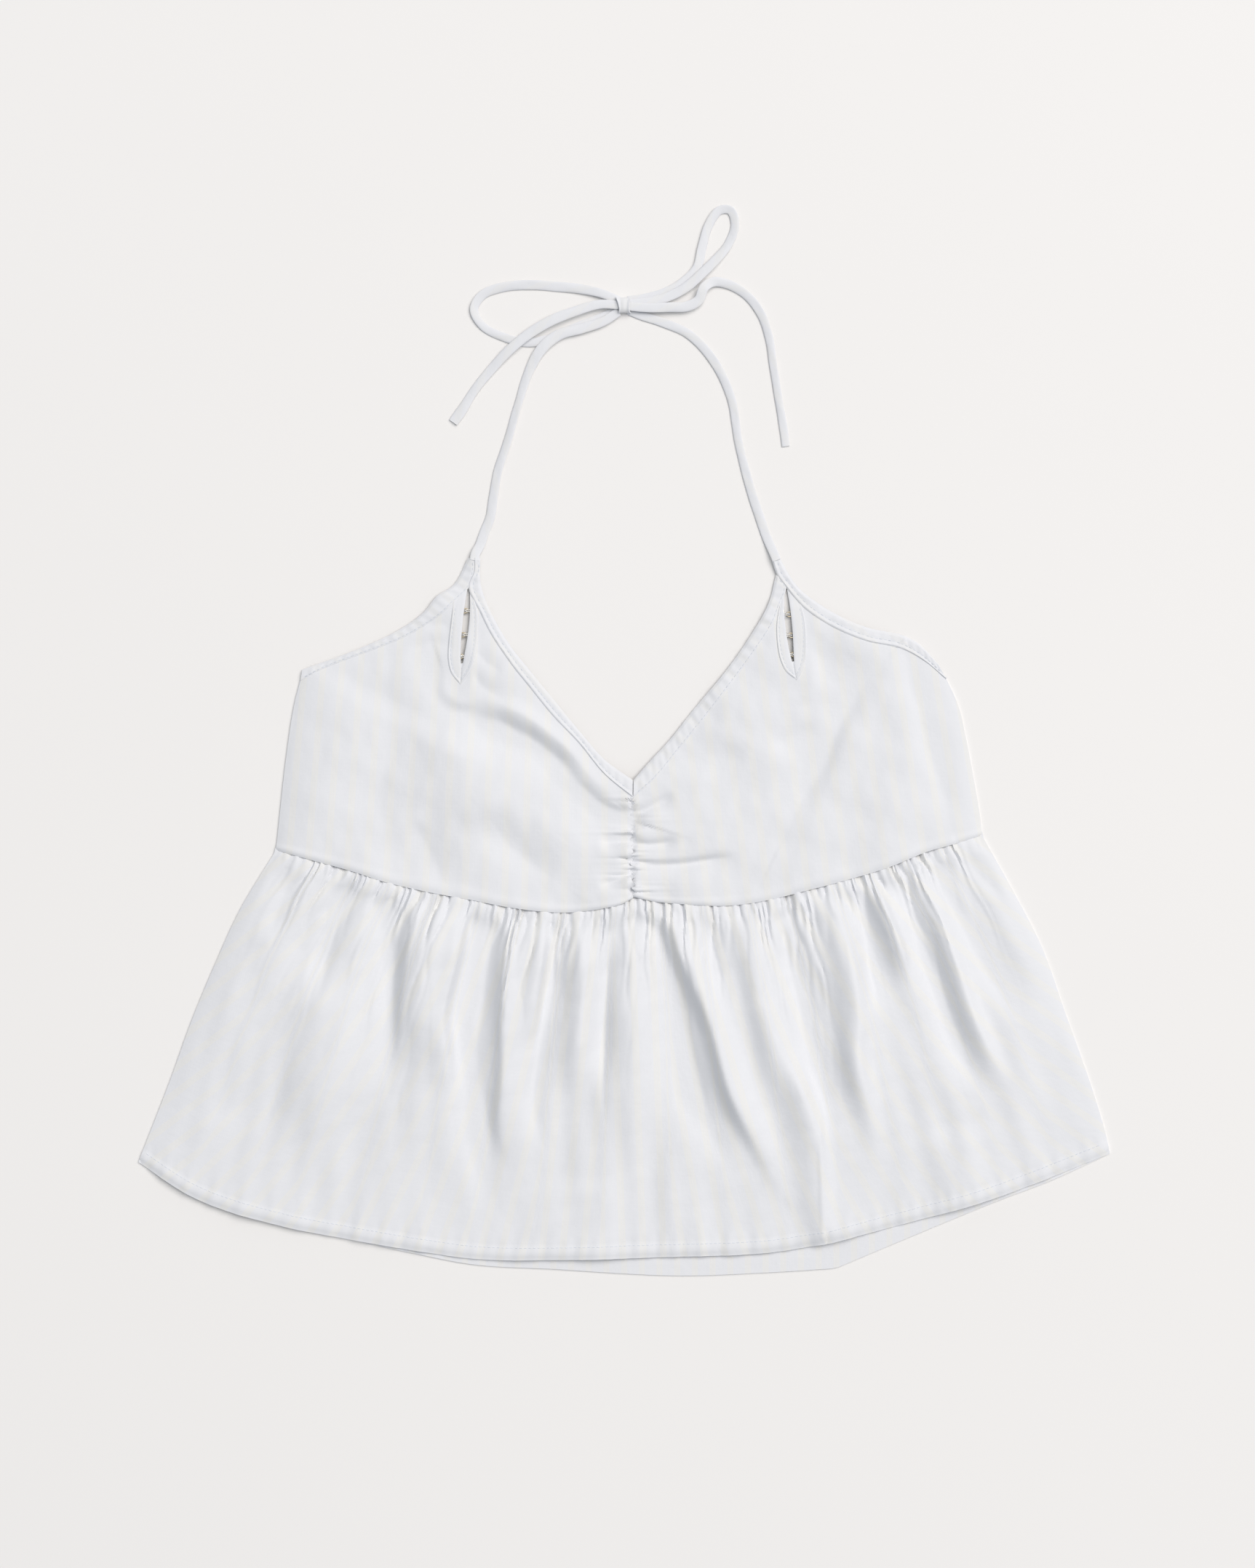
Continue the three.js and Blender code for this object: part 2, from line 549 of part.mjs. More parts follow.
// The same from the tape to the middle of the neck
function neckStations(half) {
  const [edge, sewn] = [curve(half.neckEdge), curve(half.neckLine)];
  const [slitTop] = half.slitLine;
  const turn = shareNear(edge, slitTop);
  const halter = curve([slitTop, ...half.neckHalter]);
  return [
    ...halterShares.map((u) => [edge.getPointAt(turn * (1 - u)), halter.getPointAt(u), 1])
      .reverse(),
    ...innerShares.map((s) => [
      edge.getPointAt(THREE.MathUtils.lerp(turn, 1, s)), sewn.getPointAt(s), (1 - s) ** 8]),
  ];
}

function band(name, half, stations, mirrored, clear) {
  const grid = [0, 0.5, 1].map((across) => stations.map(([outer, inner, apart]) => {
    const at = outer.clone().lerp(inner, across);
    at.x += clear * apart;
    at.z = bodiceHeight(half, at.x, at.y);
    return at;
  }));
  const rows = mirrored ? grid.map((row) => row.reverse()) : grid;
  return piece(name, wall(rows, () => CLOTH + BAND_EXTRA), cloth(colours.bias));
}

function bands(side) {
  const half = halves[side];
  const mirrored = side === 'right';
  const clear = mirrored ? SEAM / 2 : -SEAM / 2;
  return [
    band(`armhole_band_${side}`, half, armholeStations(half), mirrored, clear),
    band(`neck_band_${side}`, half, neckStations(half), mirrored, -clear),
  ];
}

// Keyhole placket: a pointed strip round the slit, lying on the bodice
const placketCut = {
  clear: CLOTH + SEAM + 0.15, from: 0.14, to: 0.985, slitEnd: 0.74, turned: 0.6,
};

function placket(side) {
  const half = halves[side];
  const mirrored = side === 'right';
  const outer = curve(half.placketOut);
  const inner = curve(half.placketIn);
  const slit = curve(half.slitLine.slice(0, 4));
  const { clear, from, to, slitEnd, turned } = placketCut;
  const rows = steps(9);
  const grid = rows.map((t) => {
    const [out, into] = [outer.getPointAt(t), inner.getPointAt(t)];
    const mid = slit.getPointAt(THREE.MathUtils.lerp(from, to, t));
    const open = t < slitEnd ? SLIT_WIDTH * Math.sin(Math.PI * (0.3 + 0.6 * t)) : 0;
    const gap = 0.5 * Math.max(open, SLIT_JOIN) * (mirrored ? -1 : 1);
    const lips = [mid.clone().setX(mid.x - gap), mid.clone().setX(mid.x + gap)];
    const row = [out, out.clone().lerp(lips[0], turned), lips[0],
      lips[1], into.clone().lerp(lips[1], turned), into];
    row.forEach((at) => { at.z = bodiceHeight(half, at.x, at.y) + clear; });
    return mirrored ? row.reverse() : row;
  });
  const middle = 2;
  const kept = (r, c) => !(c === middle && rows[r] < slitEnd - 0.01);
  return piece(`keyhole_placket_${side}`, wall(grid, () => CLOTH, kept), cloth(colours.bias));
}

// Front peplum
const peplumShares = steps(GATHERS * COLUMNS_A_GATHER);
const PEPLUM_LENGTH = 195;
const peplumDown = [0, 3, 9, 19, 35, 59, 88, 118, 150, PEPLUM_LENGTH - HEM_DEPTH, PEPLUM_LENGTH];

function frontPeplum() {
  const edges = {
    top: joined([waist.left, waist.right]), bottom: joined(frontHem),
    left: curve(peplumSides.left), right: curve(peplumSides.right),
  };
  const grid = peplumDown.map((down) => peplumShares.map((s) => {
    const at = patch(edges, s, down / PEPLUM_LENGTH);
    if (down === 0) at.y -= SEAM_IN_PLAN;
    at.z = peplumHeight(s, down, at.x, at.y);
    return at;
  }));
  const hemRow = peplumDown.length - 2;
  const thickness = (r) => (r >= hemRow ? CLOTH + HEM_EXTRA : CLOTH);
  return piece('front_peplum', wall(grid, thickness), cloth(colours.cloth));
}

// Back panels lie flat on the surface. They share the places where their waist seam turns.
const backStations = [-198.5, -179, -160, -140, -120, -100, -80, -60, BACK_SEAM_X, -20, -7, 5.5,
  22, 40, 60, 80, 100, 120, 140, 160, 182, 204];

function waistPlace(x) {
  const path = curve(x < waist.right[0][0] ? waist.left : waist.right);
  const near = (a, b) => (
    Math.abs(path.getPoint(a).x - x) < Math.abs(path.getPoint(b).x - x) ? a : b
  );
  return path.getPoint(steps(400).reduce((best, u) => near(u, best), 0));
}

// A curve that runs straight from one place to the next, one place for each column
function stationed(places) {
  const last = places.length - 1;
  return asCurve({
    getPoint(u) {
      const k = Math.min(Math.floor(u * last + 1e-6), last - 1);
      return places[k].clone().lerp(places[k + 1], u * last - k);
    },
  });
}

function flatPanel(name, edges, columns, rows, clear) {
  const grid = steps(rows).map((t) => steps(columns).map((s) => patch(edges, s, t).setZ(0)));
  grid[0].forEach((at) => { at.y -= clear.top; });
  grid.forEach((row) => { row[clear.left > 0 ? 0 : columns].x += clear.left - clear.right; });
  return piece(name, wall(grid, () => BACK_CLOTH), cloth(colours.cloth));
}

function backPanels() {
  const seamTurns = backStations.map(waistPlace);
  const nth = backStations.indexOf(BACK_SEAM_X);
  const [leftTurns, rightTurns] = [seamTurns.slice(0, nth + 1), seamTurns.slice(nth)];
  const seam = [[seamTurns[nth].x, seamTurns[nth].y], backHem.left[backHem.left.length - 1]];
  const bodice = {
    top: curve(backTop), bottom: stationed(seamTurns),
    left: curve(halves.left.side),
    right: curve([backTop[backTop.length - 1], ...halves.right.side.slice(1)]),
  };
  const left = {
    top: stationed(leftTurns), bottom: curve(backHem.left),
    left: curve(peplumSides.left), right: curve(seam),
  };
  const right = {
    top: stationed(rightTurns), bottom: joined(backHem.right),
    left: curve(seam), right: curve(peplumSides.right),
  };
  const top = SEAM_IN_PLAN;
  return [
    flatPanel('back_bodice', bodice, seamTurns.length - 1, 2, { top: 0, left: 0, right: 0 }),
    flatPanel('back_peplum_left', left, leftTurns.length - 1, 4,
      { top, left: 0, right: SEAM / 2 }),
    flatPanel('back_peplum_right', right, rightTurns.length - 1, 4,
      { top, left: SEAM / 2, right: 0 }),
  ];
}

// Tapes: a flat section swept along a route, always level with the surface. A route has x, y
// and the number of tapes that it lies on.
class TapeRoute extends THREE.CatmullRomCurve3 {
  constructor(points) {
    super(points.map(([x, y, level]) => (
      new THREE.Vector3(x, y, TAPE_FLOOR + TAPE_THICKNESS / 2 + level * TAPE_LEVEL)
    )), false, 'centripetal');
  }

  computeFrenetFrames(segments) {
    const tangents = steps(segments).map((u) => this.getTangentAt(u));
    const level = new THREE.Vector3(0, 0, 1);
    const binormals = tangents.map((t) => t.clone().cross(level).normalize());
    const normals = tangents.map((t, k) => binormals[k].clone().cross(t).normalize());
    return { tangents, normals, binormals };
  }
}

const tapes = {
  tie_left_strap: { pitch: 9, route: [
    [-85.3, 201.7, 1], [-84.6, 203.6, 0.8], [-82.4, 207.6, 0.35], [-79.4, 216, 0], [-76.4, 224, 0],
    [-74.5, 236, 0], [-71.8, 251, 0], [-66.6, 267, 0], [-60.9, 286.8, 0], [-54.8, 306, 0],
    [-47, 320, 0.9], [-37, 328, 1.05], [-24, 331.5, 1.05], [-12, 335.5, 1.05],
    [-5.6, 339.6, 1.05]] },
  tie_right_strap: { pitch: 9, route: [
    [86.3, 201.6, 1], [84.9, 204, 0.8], [81.8, 211.3, 0.1], [77.3, 224, 0], [72.1, 240, 0],
    [65.2, 267, 0], [61.8, 289, 0], [56, 304.5, 0], [47.5, 318, 0], [36.5, 328.6, 0],
    [21.5, 335.3, 0], [10, 339, 0], [4.6, 340.8, 0]] },
  bow_loop_left: { pitch: 7, route: [
    [-5.4, 348.6, 1.05], [-13, 351.5, 1], [-24, 354, 0.4], [-37, 355.4, 0], [-54, 356.5, 0],
    [-70, 355, 0], [-81, 350.5, 0], [-85.6, 342.5, 0], [-80.5, 333, 0], [-68, 326.5, 0],
    [-55, 323.6, 0], [-43, 325.5, 0], [-29, 331.5, 0], [-14, 337.6, 0], [-5.6, 341.8, 0]] },
  bow_loop_right: { pitch: 7, route: [
    [4.6, 348.4, 0], [12, 349.2, 0], [22, 351.8, 0], [33, 357.5, 0], [41.5, 366, 0],
    [44.5, 378, 0], [48.5, 391, 0], [54.5, 399, 0], [60.5, 399, 0], [63.2, 391, 0],
    [59.5, 380, 0], [53, 371.5, 0.7], [44.5, 363, 1.05], [36, 355.5, 1.05], [25, 349.5, 1.05],
    [13, 346.6, 1.05], [4.8, 346, 1.05]] },
  bow_tail_left: { pitch: 8, route: [
    [-5.6, 345.4, 2.1], [-14, 345, 2.1], [-28, 341, 2.1], [-42, 335.5, 2.1], [-56, 327, 1.5],
    [-66, 318.6, 1.1], [-76, 308, 0.2], [-85, 297, 0], [-92, 286, 0], [-97.5, 278, 0]] },
  bow_tail_right: { pitch: 6, route: [
    [4.8, 343.6, 2.1], [14, 343, 2.1], [26, 343.4, 1.9], [36, 344, 1.6], [42.5, 347.5, 1.6],
    [45.5, 354.5, 2.05], [51, 358, 1], [60, 356.5, 0.2], [70, 350.5, 0], [78, 340, 0],
    [82.5, 327, 0], [85, 311, 0], [88, 292, 0], [90.5, 277, 0], [92.3, 264.5, 0]] },
};

function tapeSection() {
  const [flat, wide] = [TAPE_THICKNESS / 2, TAPE_WIDTH / 2];
  const shape = new THREE.Shape();
  shape.moveTo(-flat, -wide + TAPE_CORNER);
  shape.lineTo(-flat / 2, -wide);
  shape.lineTo(flat / 2, -wide);
  shape.lineTo(flat, -wide + TAPE_CORNER);
  shape.lineTo(flat, wide - TAPE_CORNER);
  shape.lineTo(flat / 2, wide);
  shape.lineTo(-flat / 2, wide);
  shape.lineTo(-flat, wide - TAPE_CORNER);
  return shape;
}

function tape(name) {
  const { route, pitch } = tapes[name];
  const extrudePath = new TapeRoute(route);
  const options = { steps: Math.round(extrudePath.getLength() / pitch), extrudePath };
  const geometry = new THREE.ExtrudeGeometry(tapeSection(), options);
  return piece(name, geometry, cloth(colours.tape));
}

// Bow knot: a rounded turn of tape that holds the six tape ends
function bowKnot() {
  const { width, height, tall, bevel, round } = KNOT;
  const [w, h] = [width / 2 - bevel, height / 2 - bevel];
  const shape = new THREE.Shape();
  shape.moveTo(-w + round, -h);
  shape.lineTo(w - round, -h);
  shape.quadraticCurveTo(w, -h, w, -h + round);
  shape.lineTo(w, h - round);
  shape.quadraticCurveTo(w, h, w - round, h);
  shape.lineTo(-w + round, h);
  shape.quadraticCurveTo(-w, h, -w, h - round);
  shape.lineTo(-w, -h + round);
  shape.quadraticCurveTo(-w, -h, -w + round, -h);
  const geometry = new THREE.ExtrudeGeometry(shape, {
    depth: tall - 2 * bevel, bevelThickness: bevel, bevelSize: bevel, bevelSegments: 2,
    curveSegments: 2,
  });
  const mesh = piece('bow_knot', geometry, cloth(colours.tape));
  mesh.position.set(KNOT.x, KNOT.y, bevel + TAPE_FLOOR / 2);
  return mesh;
}

// Hooks and eyes: bent wires that reach into the slit from under its two lips
class BentWire extends THREE.Curve {
  constructor(reach, halfSpan) {
    super();
    this.reach = reach;
    this.halfSpan = halfSpan;
  }

  getPoint(u) {
    const straight = this.reach - this.halfSpan;
    const bend = Math.PI * this.halfSpan;
    const walked = u * (2 * straight + bend);
    if (walked < straight) return new THREE.Vector3(walked, this.halfSpan, 0);
    if (walked > straight + bend) {
      return new THREE.Vector3(2 * straight + bend - walked, -this.halfSpan, 0);
    }
    const angle = Math.PI / 2 - (walked - straight) / this.halfSpan;
    return new THREE.Vector3(straight + this.halfSpan * Math.cos(angle),
      this.halfSpan * Math.sin(angle), 0);
  }
}

function wireSection() {
  const shape = new THREE.Shape();
  const sides = 6;
  for (let k = 0; k < sides; k += 1) {
    const angle = 2 * Math.PI * k / sides;
    const [x, y] = [Math.cos(angle) * WIRE / 2, Math.sin(angle) * WIRE / 2];
    if (k === 0) shape.moveTo(x, y);
    else shape.lineTo(x, y);
  }
  return shape;
}

function slitMiddle(half, y) {
  const path = curve(half.slitLine);
  const share = steps(100).reduce((best, u) => (
    Math.abs(path.getPointAt(u).y - y) < Math.abs(path.getPointAt(best).y - y) ? u : best
  ), 0);
  return path.getPointAt(share).x;
}

function hookAndEye(side, nth) {
  const half = halves[side];
  const y = half.hooks[nth];
  const x = slitMiddle(half, y);
  const under = bodiceHeight(half, x, y) - SEAM - WIRE / 2;
  const inward = side === 'left' ? 1 : -1;
  const make = (name, { reach, halfSpan, drop }, from, turn) => {
    const geometry = new THREE.ExtrudeGeometry(wireSection(), {
      steps: 8, extrudePath: new BentWire(reach, halfSpan),
    });
    const mesh = piece(name, geometry, metal(colours.wire));
    mesh.position.set(x + from, y, under - drop);
    mesh.rotation.z = turn;
    return mesh;
  };
  const [hookTurn, eyeTurn] = inward > 0 ? [Math.PI, 0] : [0, Math.PI];
  return [
    make(`hook_${side}_${nth + 1}`, HOOK, inward * WIRE_ROOT_AWAY, hookTurn),
    make(`eye_${side}_${nth + 1}`, EYE, -inward * WIRE_ROOT_AWAY, eyeTurn),
  ];
}

const top = new THREE.Group();
for (const side of ['left', 'right']) {
  top.add(frontBodice(side), ...bands(side), placket(side));
  halves[side].hooks.forEach((_, nth) => top.add(...hookAndEye(side, nth)));
}
top.add(frontPeplum(), ...backPanels());
Object.keys(tapes).forEach((name) => top.add(tape(name)));
top.add(bowKnot());

top.position.y = -MIDDLE_Y;

export default top;
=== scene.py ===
"""Dresses the halter neck top that lies flat with its tapes tied in a bow.

Every panel starts as a grid that is moved onto its outline, its folds and its gathers, and
gets a thin wall. Outlines and folds are in millimetres. They follow the solids, but the folds
are deeper, finer ones are added, and the back's hem hangs a little lower on the right.
"""

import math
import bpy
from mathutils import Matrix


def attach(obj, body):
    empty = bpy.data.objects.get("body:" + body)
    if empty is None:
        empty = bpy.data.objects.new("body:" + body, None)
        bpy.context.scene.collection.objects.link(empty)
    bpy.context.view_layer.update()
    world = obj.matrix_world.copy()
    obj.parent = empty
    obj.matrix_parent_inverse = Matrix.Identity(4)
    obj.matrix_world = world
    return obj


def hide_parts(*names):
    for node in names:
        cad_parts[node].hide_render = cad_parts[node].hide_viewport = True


bl_info = {
    "name": "Halter neck top",
    "version": (1, 0, 0),
    "blender": (4, 5, 0),
    "location": "View3D > Sidebar > Halter top",
    "description": "Striped cotton panels, bound edges, keyholes, hooks and tied tapes",
    "category": "Add Mesh",
}

from collections import namedtuple
from contextlib import contextmanager
from functools import cache

import bpy
import numpy as np
from mathutils import Vector

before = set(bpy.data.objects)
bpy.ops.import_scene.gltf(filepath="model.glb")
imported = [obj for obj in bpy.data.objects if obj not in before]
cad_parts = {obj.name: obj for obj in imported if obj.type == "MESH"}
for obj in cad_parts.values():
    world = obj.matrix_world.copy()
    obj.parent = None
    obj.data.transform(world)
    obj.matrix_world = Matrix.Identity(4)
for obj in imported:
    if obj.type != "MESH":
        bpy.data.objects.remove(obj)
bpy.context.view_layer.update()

MM = 0.001
MIDDLE_Y = -3.35

# Sizes in millimetres, and how many gathers and puckers there are
BACK_CLOTH = 1.0
HEM_EXTRA = 0.5
SEAM = 0.3
FRONT_REST = BACK_CLOTH + SEAM
HEM_DEPTH = 8
GATHERS = 42
PUCKERS = 12
BODICE_LIFT = 4.2
SIDE_ROLL = 16
NECK_ROLL = 14
PEPLUM_LENGTH = 195
PEPLUM_ACROSS = 500
UNDER_THE_EDGE = 1.2

# How folds differ from their rows in the tables
FOLD_DEPTH = 1.6
BODICE_FOLD_DEPTH = 2.1
VALLEY_REACH = 1.45
VALLEY_DEPTH = 0.8
RIDGE_ROUNDNESS = 2.0
VALLEY_ROUNDNESS = 1.5

SLIT_WIDTH = 3.8
SLIT_JOIN = 1.0
SLIT_SHARE = 0.25

TAPE_THICKNESS = 1.2
TAPE_LEVEL = 1.6
TAPE_FLOOR = 0.12
WIRE = 0.7

Fold = namedtuple("Fold", "name height left right ends line")

# Outlines, (x, y) in order along each edge, from the hem's middle
WAIST = {
  "left": [(-198.5, 34), (-176.5, 28), (-151.5, 21), (-136.5, 16), (-110.5, 10), (-88.5, 6),
    (-62, 1), (-34.5, -1.5), (-14, 0.5), (0, 4), (5.5, 7.5)],
  "right": [(5.5, 7.5), (16, 5), (38.5, 3), (60, 2.5), (81, 5.5), (103.5, 11), (130, 18),
    (151, 24.5), (172, 33), (186, 37), (204, 42.5)],
}

PEPLUM_SIDES = {
  "left": [(-198.5, 34), (-218.5, 1), (-233, -30.5), (-246.5, -63), (-258, -95), (-267, -118.5),
    (-277, -144)],
  "right": [(204, 42.5), (223, 8.5), (238.5, -22), (252, -60), (265, -96.5), (274, -125.5),
    (277, -139)],
}

FRONT_HEM = [
  [(-277, -144), (-242, -165.5), (-194, -180.5), (-150, -189), (-117.5, -194.5), (-84.5, -199),
    (-40.5, -199.5), (20, -198), (81.5, -195.5), (117.5, -190)],
  [(117.5, -190), (165, -177.5), (213.5, -163.5), (277, -139)],
]

BACK_HEM = {
  "left": [(-277, -144), (-242, -163), (-194, -178), (-150, -189.5), (-117.5, -196.5),
    (-84.5, -202.5), (-38.5, -205)],
  "right": [
    [(-38.5, -205), (0, -207.5), (33.5, -208.7), (80, -207), (120.5, -204.5)],
    [(120.5, -204.5), (168, -184.5), (213.5, -165.8), (243, -154.6), (277, -139)],
  ],
}

BACK_TOP = [(-183.5, 137), (-150, 114), (-100, 88), (-40, 72), (5, 68), (50, 72),
  (105, 88), (150, 113), (179.5, 137)]

HALVES = {
  "left": {
    "side": [(-183.5, 137), (-188, 117.5), (-192.5, 88.5), (-198.5, 34)],
    "centre": [(4.8, 64.5), (4.2, 35.5), (5.3, 7.5)],
    "waist": WAIST["left"],
    "slitLine": [(-88.5, 184.5), (-90, 165), (-92, 146), (-93.5, 128), (-98, 80), (-103, 8.5)],
    "armholeEdge": [(-183.5, 137), (-175, 140), (-152, 148.5), (-128.5, 159.5), (-114.5, 169.5),
      (-106.5, 179), (-97, 185.5), (-89, 200.5)],
    "armholeLine": [(-184.5, 131), (-170.5, 138), (-142.5, 148.5), (-123.5, 156.5),
      (-105.5, 168), (-98, 175), (-88.5, 184.5)],
    "neckEdge": [(-82, 200.5), (-81.5, 184.5), (-73.5, 165), (-64.5, 150), (-55, 138),
      (-41, 121), (-25.5, 102), (-11, 85.5), (4.9, 74)],
    "neckLine": [(-88.5, 184.5), (-82, 170), (-75.5, 157), (-64, 140), (-54, 127.5),
      (-41, 111.5), (-25.5, 95), (-11, 77.5), (4.8, 64.5)],
    "placketOut": [
      [(-88.8, 184.4), (-93, 180.2), (-97.5, 174.8)],
      [(-97.5, 174.8), (-98.8, 164), (-100.3, 151), (-100.4, 142), (-98.6, 135), (-93.4, 128.3)],
    ],
    "placketIn": [
      [(-88.2, 184.2), (-87, 181.6), (-85.6, 178.8)],
      [(-85.6, 178.8), (-83.4, 168.5), (-83.2, 160), (-83.7, 151), (-85.2, 142.5), (-88, 135.4),
        (-93, 128.3)],
    ],
    "halter": {
      "armhole": [(-85.7, 193), (-85.5, 200.6)], "neck": [(-85.7, 193), (-85.5, 200.6)],
    },
    "phase": 0.4,
    "hooks": (170.5, 156.8, 144.5),
  },
  "right": {
    "side": [(179.5, 139.5), (185, 129), (191, 115), (194.5, 100), (199, 76.5), (203, 53),
      (204, 42.5)],
    "centre": [(5.2, 64.5), (4.6, 35.5), (5.7, 7.5)],
    "waist": WAIST["right"],
    "slitLine": [(92, 184.5), (93.5, 165), (95.5, 146), (98, 130.5), (103, 80), (110, 12)],
    "armholeEdge": [(179.5, 139.5), (173.5, 146.5), (167, 152.5), (157.5, 157), (138.5, 161),
      (121, 168.5), (104, 179.5), (97.5, 186), (92.6, 193.5), (88.8, 200.5)],
    "armholeLine": [(183.4, 132), (170, 143), (157.5, 149.5), (138.5, 153.5), (121, 160.5),
      (107, 169), (100, 175), (92, 184.5)],
    "neckEdge": [(86.6, 191.2), (82, 174), (69.5, 152.5), (57, 135), (39, 113.5), (26, 97),
      (14, 84), (5.3, 74)],
    "neckLine": [(92, 184.5), (88.5, 173.5), (84, 162.5), (76, 150), (66, 136), (46, 110),
      (32, 93), (18, 76), (5.2, 64.5)],
    "placketOut": [
      [(92.4, 184.2), (96.4, 179.4), (101, 174)],
      [(101, 174), (103.3, 164), (104, 151), (103.4, 143), (101.4, 136.4), (98.6, 131)],
    ],
    "placketIn": [
      [(91.8, 184), (90.4, 180), (88.9, 174.4)],
      [(88.9, 174.4), (86.9, 164), (87, 152.5), (88.8, 142.6), (92, 136), (98, 131)],
    ],
    "halter": {
      "armhole": [(87.4, 191), (84.2, 200)], "neck": [(89.2, 188.4), (87.7, 190.8)],
    },
    "phase": 2.3,
    "hooks": (168.5, 156.5, 145.5),
  },
}

BODICE_FOLDS = [
  Fold("left fold from the placket", height=-3.4, left=12, right=6, ends=(0.5, 0.6),
    line=[(-101, 128), (-97, 117), (-86, 109), (-67, 103), (-48, 93), (-35, 80), (-24, 65),
      (-11, 56), (1, 52)]),
  Fold("left ridge above it", height=1.8, left=8, right=5, ends=(0, 0.2),
    line=[(-86, 120), (-60, 112), (-36, 94), (-20, 76), (-8, 64)]),
  Fold("left side trough", height=-2.2, left=10, right=12, ends=(0.4, 0.6),
    line=[(-135, 143), (-132, 100), (-139, 68), (-135, 37), (-130, 21)]),
  Fold("left trough over the waist", height=-1.6, left=7, right=7, ends=(0, 0.5),
    line=[(-121, 52), (-111, 34), (-102, 13)]),
  Fold("left trough to the centre", height=-2.0, left=9, right=7, ends=(0, 0.3),
    line=[(-80, 60), (-68, 40), (-54, 27), (-35, 14)]),
  Fold("left swell", height=1.8, left=22, right=18, ends=(0.2, 0.2),
    line=[(-105, 110), (-85, 75), (-50, 50)]),
  Fold("right diagonal trough", height=-3.4, left=12, right=5, ends=(0.3, 0.2),
    line=[(149, 143), (132, 124), (116, 92), (100, 61), (90, 40)]),
  Fold("right dart", height=-2.6, left=4, right=12, ends=(0.8, 0.4),
    line=[(162, 146), (166, 124), (174, 92), (182, 68), (187, 45)]),
  Fold("right hollow by the neck", height=-1.8, left=12, right=12, ends=(0.2, 0.2),
    line=[(62, 100), (53, 73), (49, 50)]),
  Fold("right crease", height=-1.1, left=4, right=4, ends=(0, 0),
    line=[(84, 92), (111, 105)]),
  Fold("right trough by the placket", height=-1.4, left=5, right=5, ends=(0.3, 0),
    line=[(108, 148), (118, 138), (124, 124)]),
  Fold("right long ruche", height=-2.6, left=3.2, right=1.7, ends=(1, 0),
    line=[(6, 28), (13, 26), (32, 26), (52, 29), (67, 31)]),
  Fold("right second ruche", height=-1.8, left=3, right=1.8, ends=(1, 0),
    line=[(6, 38), (13, 37), (23, 38), (32, 41)]),
  Fold("right upper ruche", height=-1.8, left=3, right=2.2, ends=(1, 0),
    line=[(6, 54), (18, 60), (29, 66)]),
  Fold("left upper ruche", height=-2.2, left=3.2, right=2.4, ends=(1, 0),
    line=[(3, 51), (-7, 53), (-20, 60), (-27, 75)]),
  Fold("left middle ruche", height=-1.8, left=2.4, right=2.4, ends=(1, 0),
    line=[(2, 40), (-15, 38)]),
  Fold("left lower ruche", height=-1.8, left=2.6, right=2.4, ends=(1, 0),
    line=[(3, 20), (-7, 16), (-16, 14)]),
]

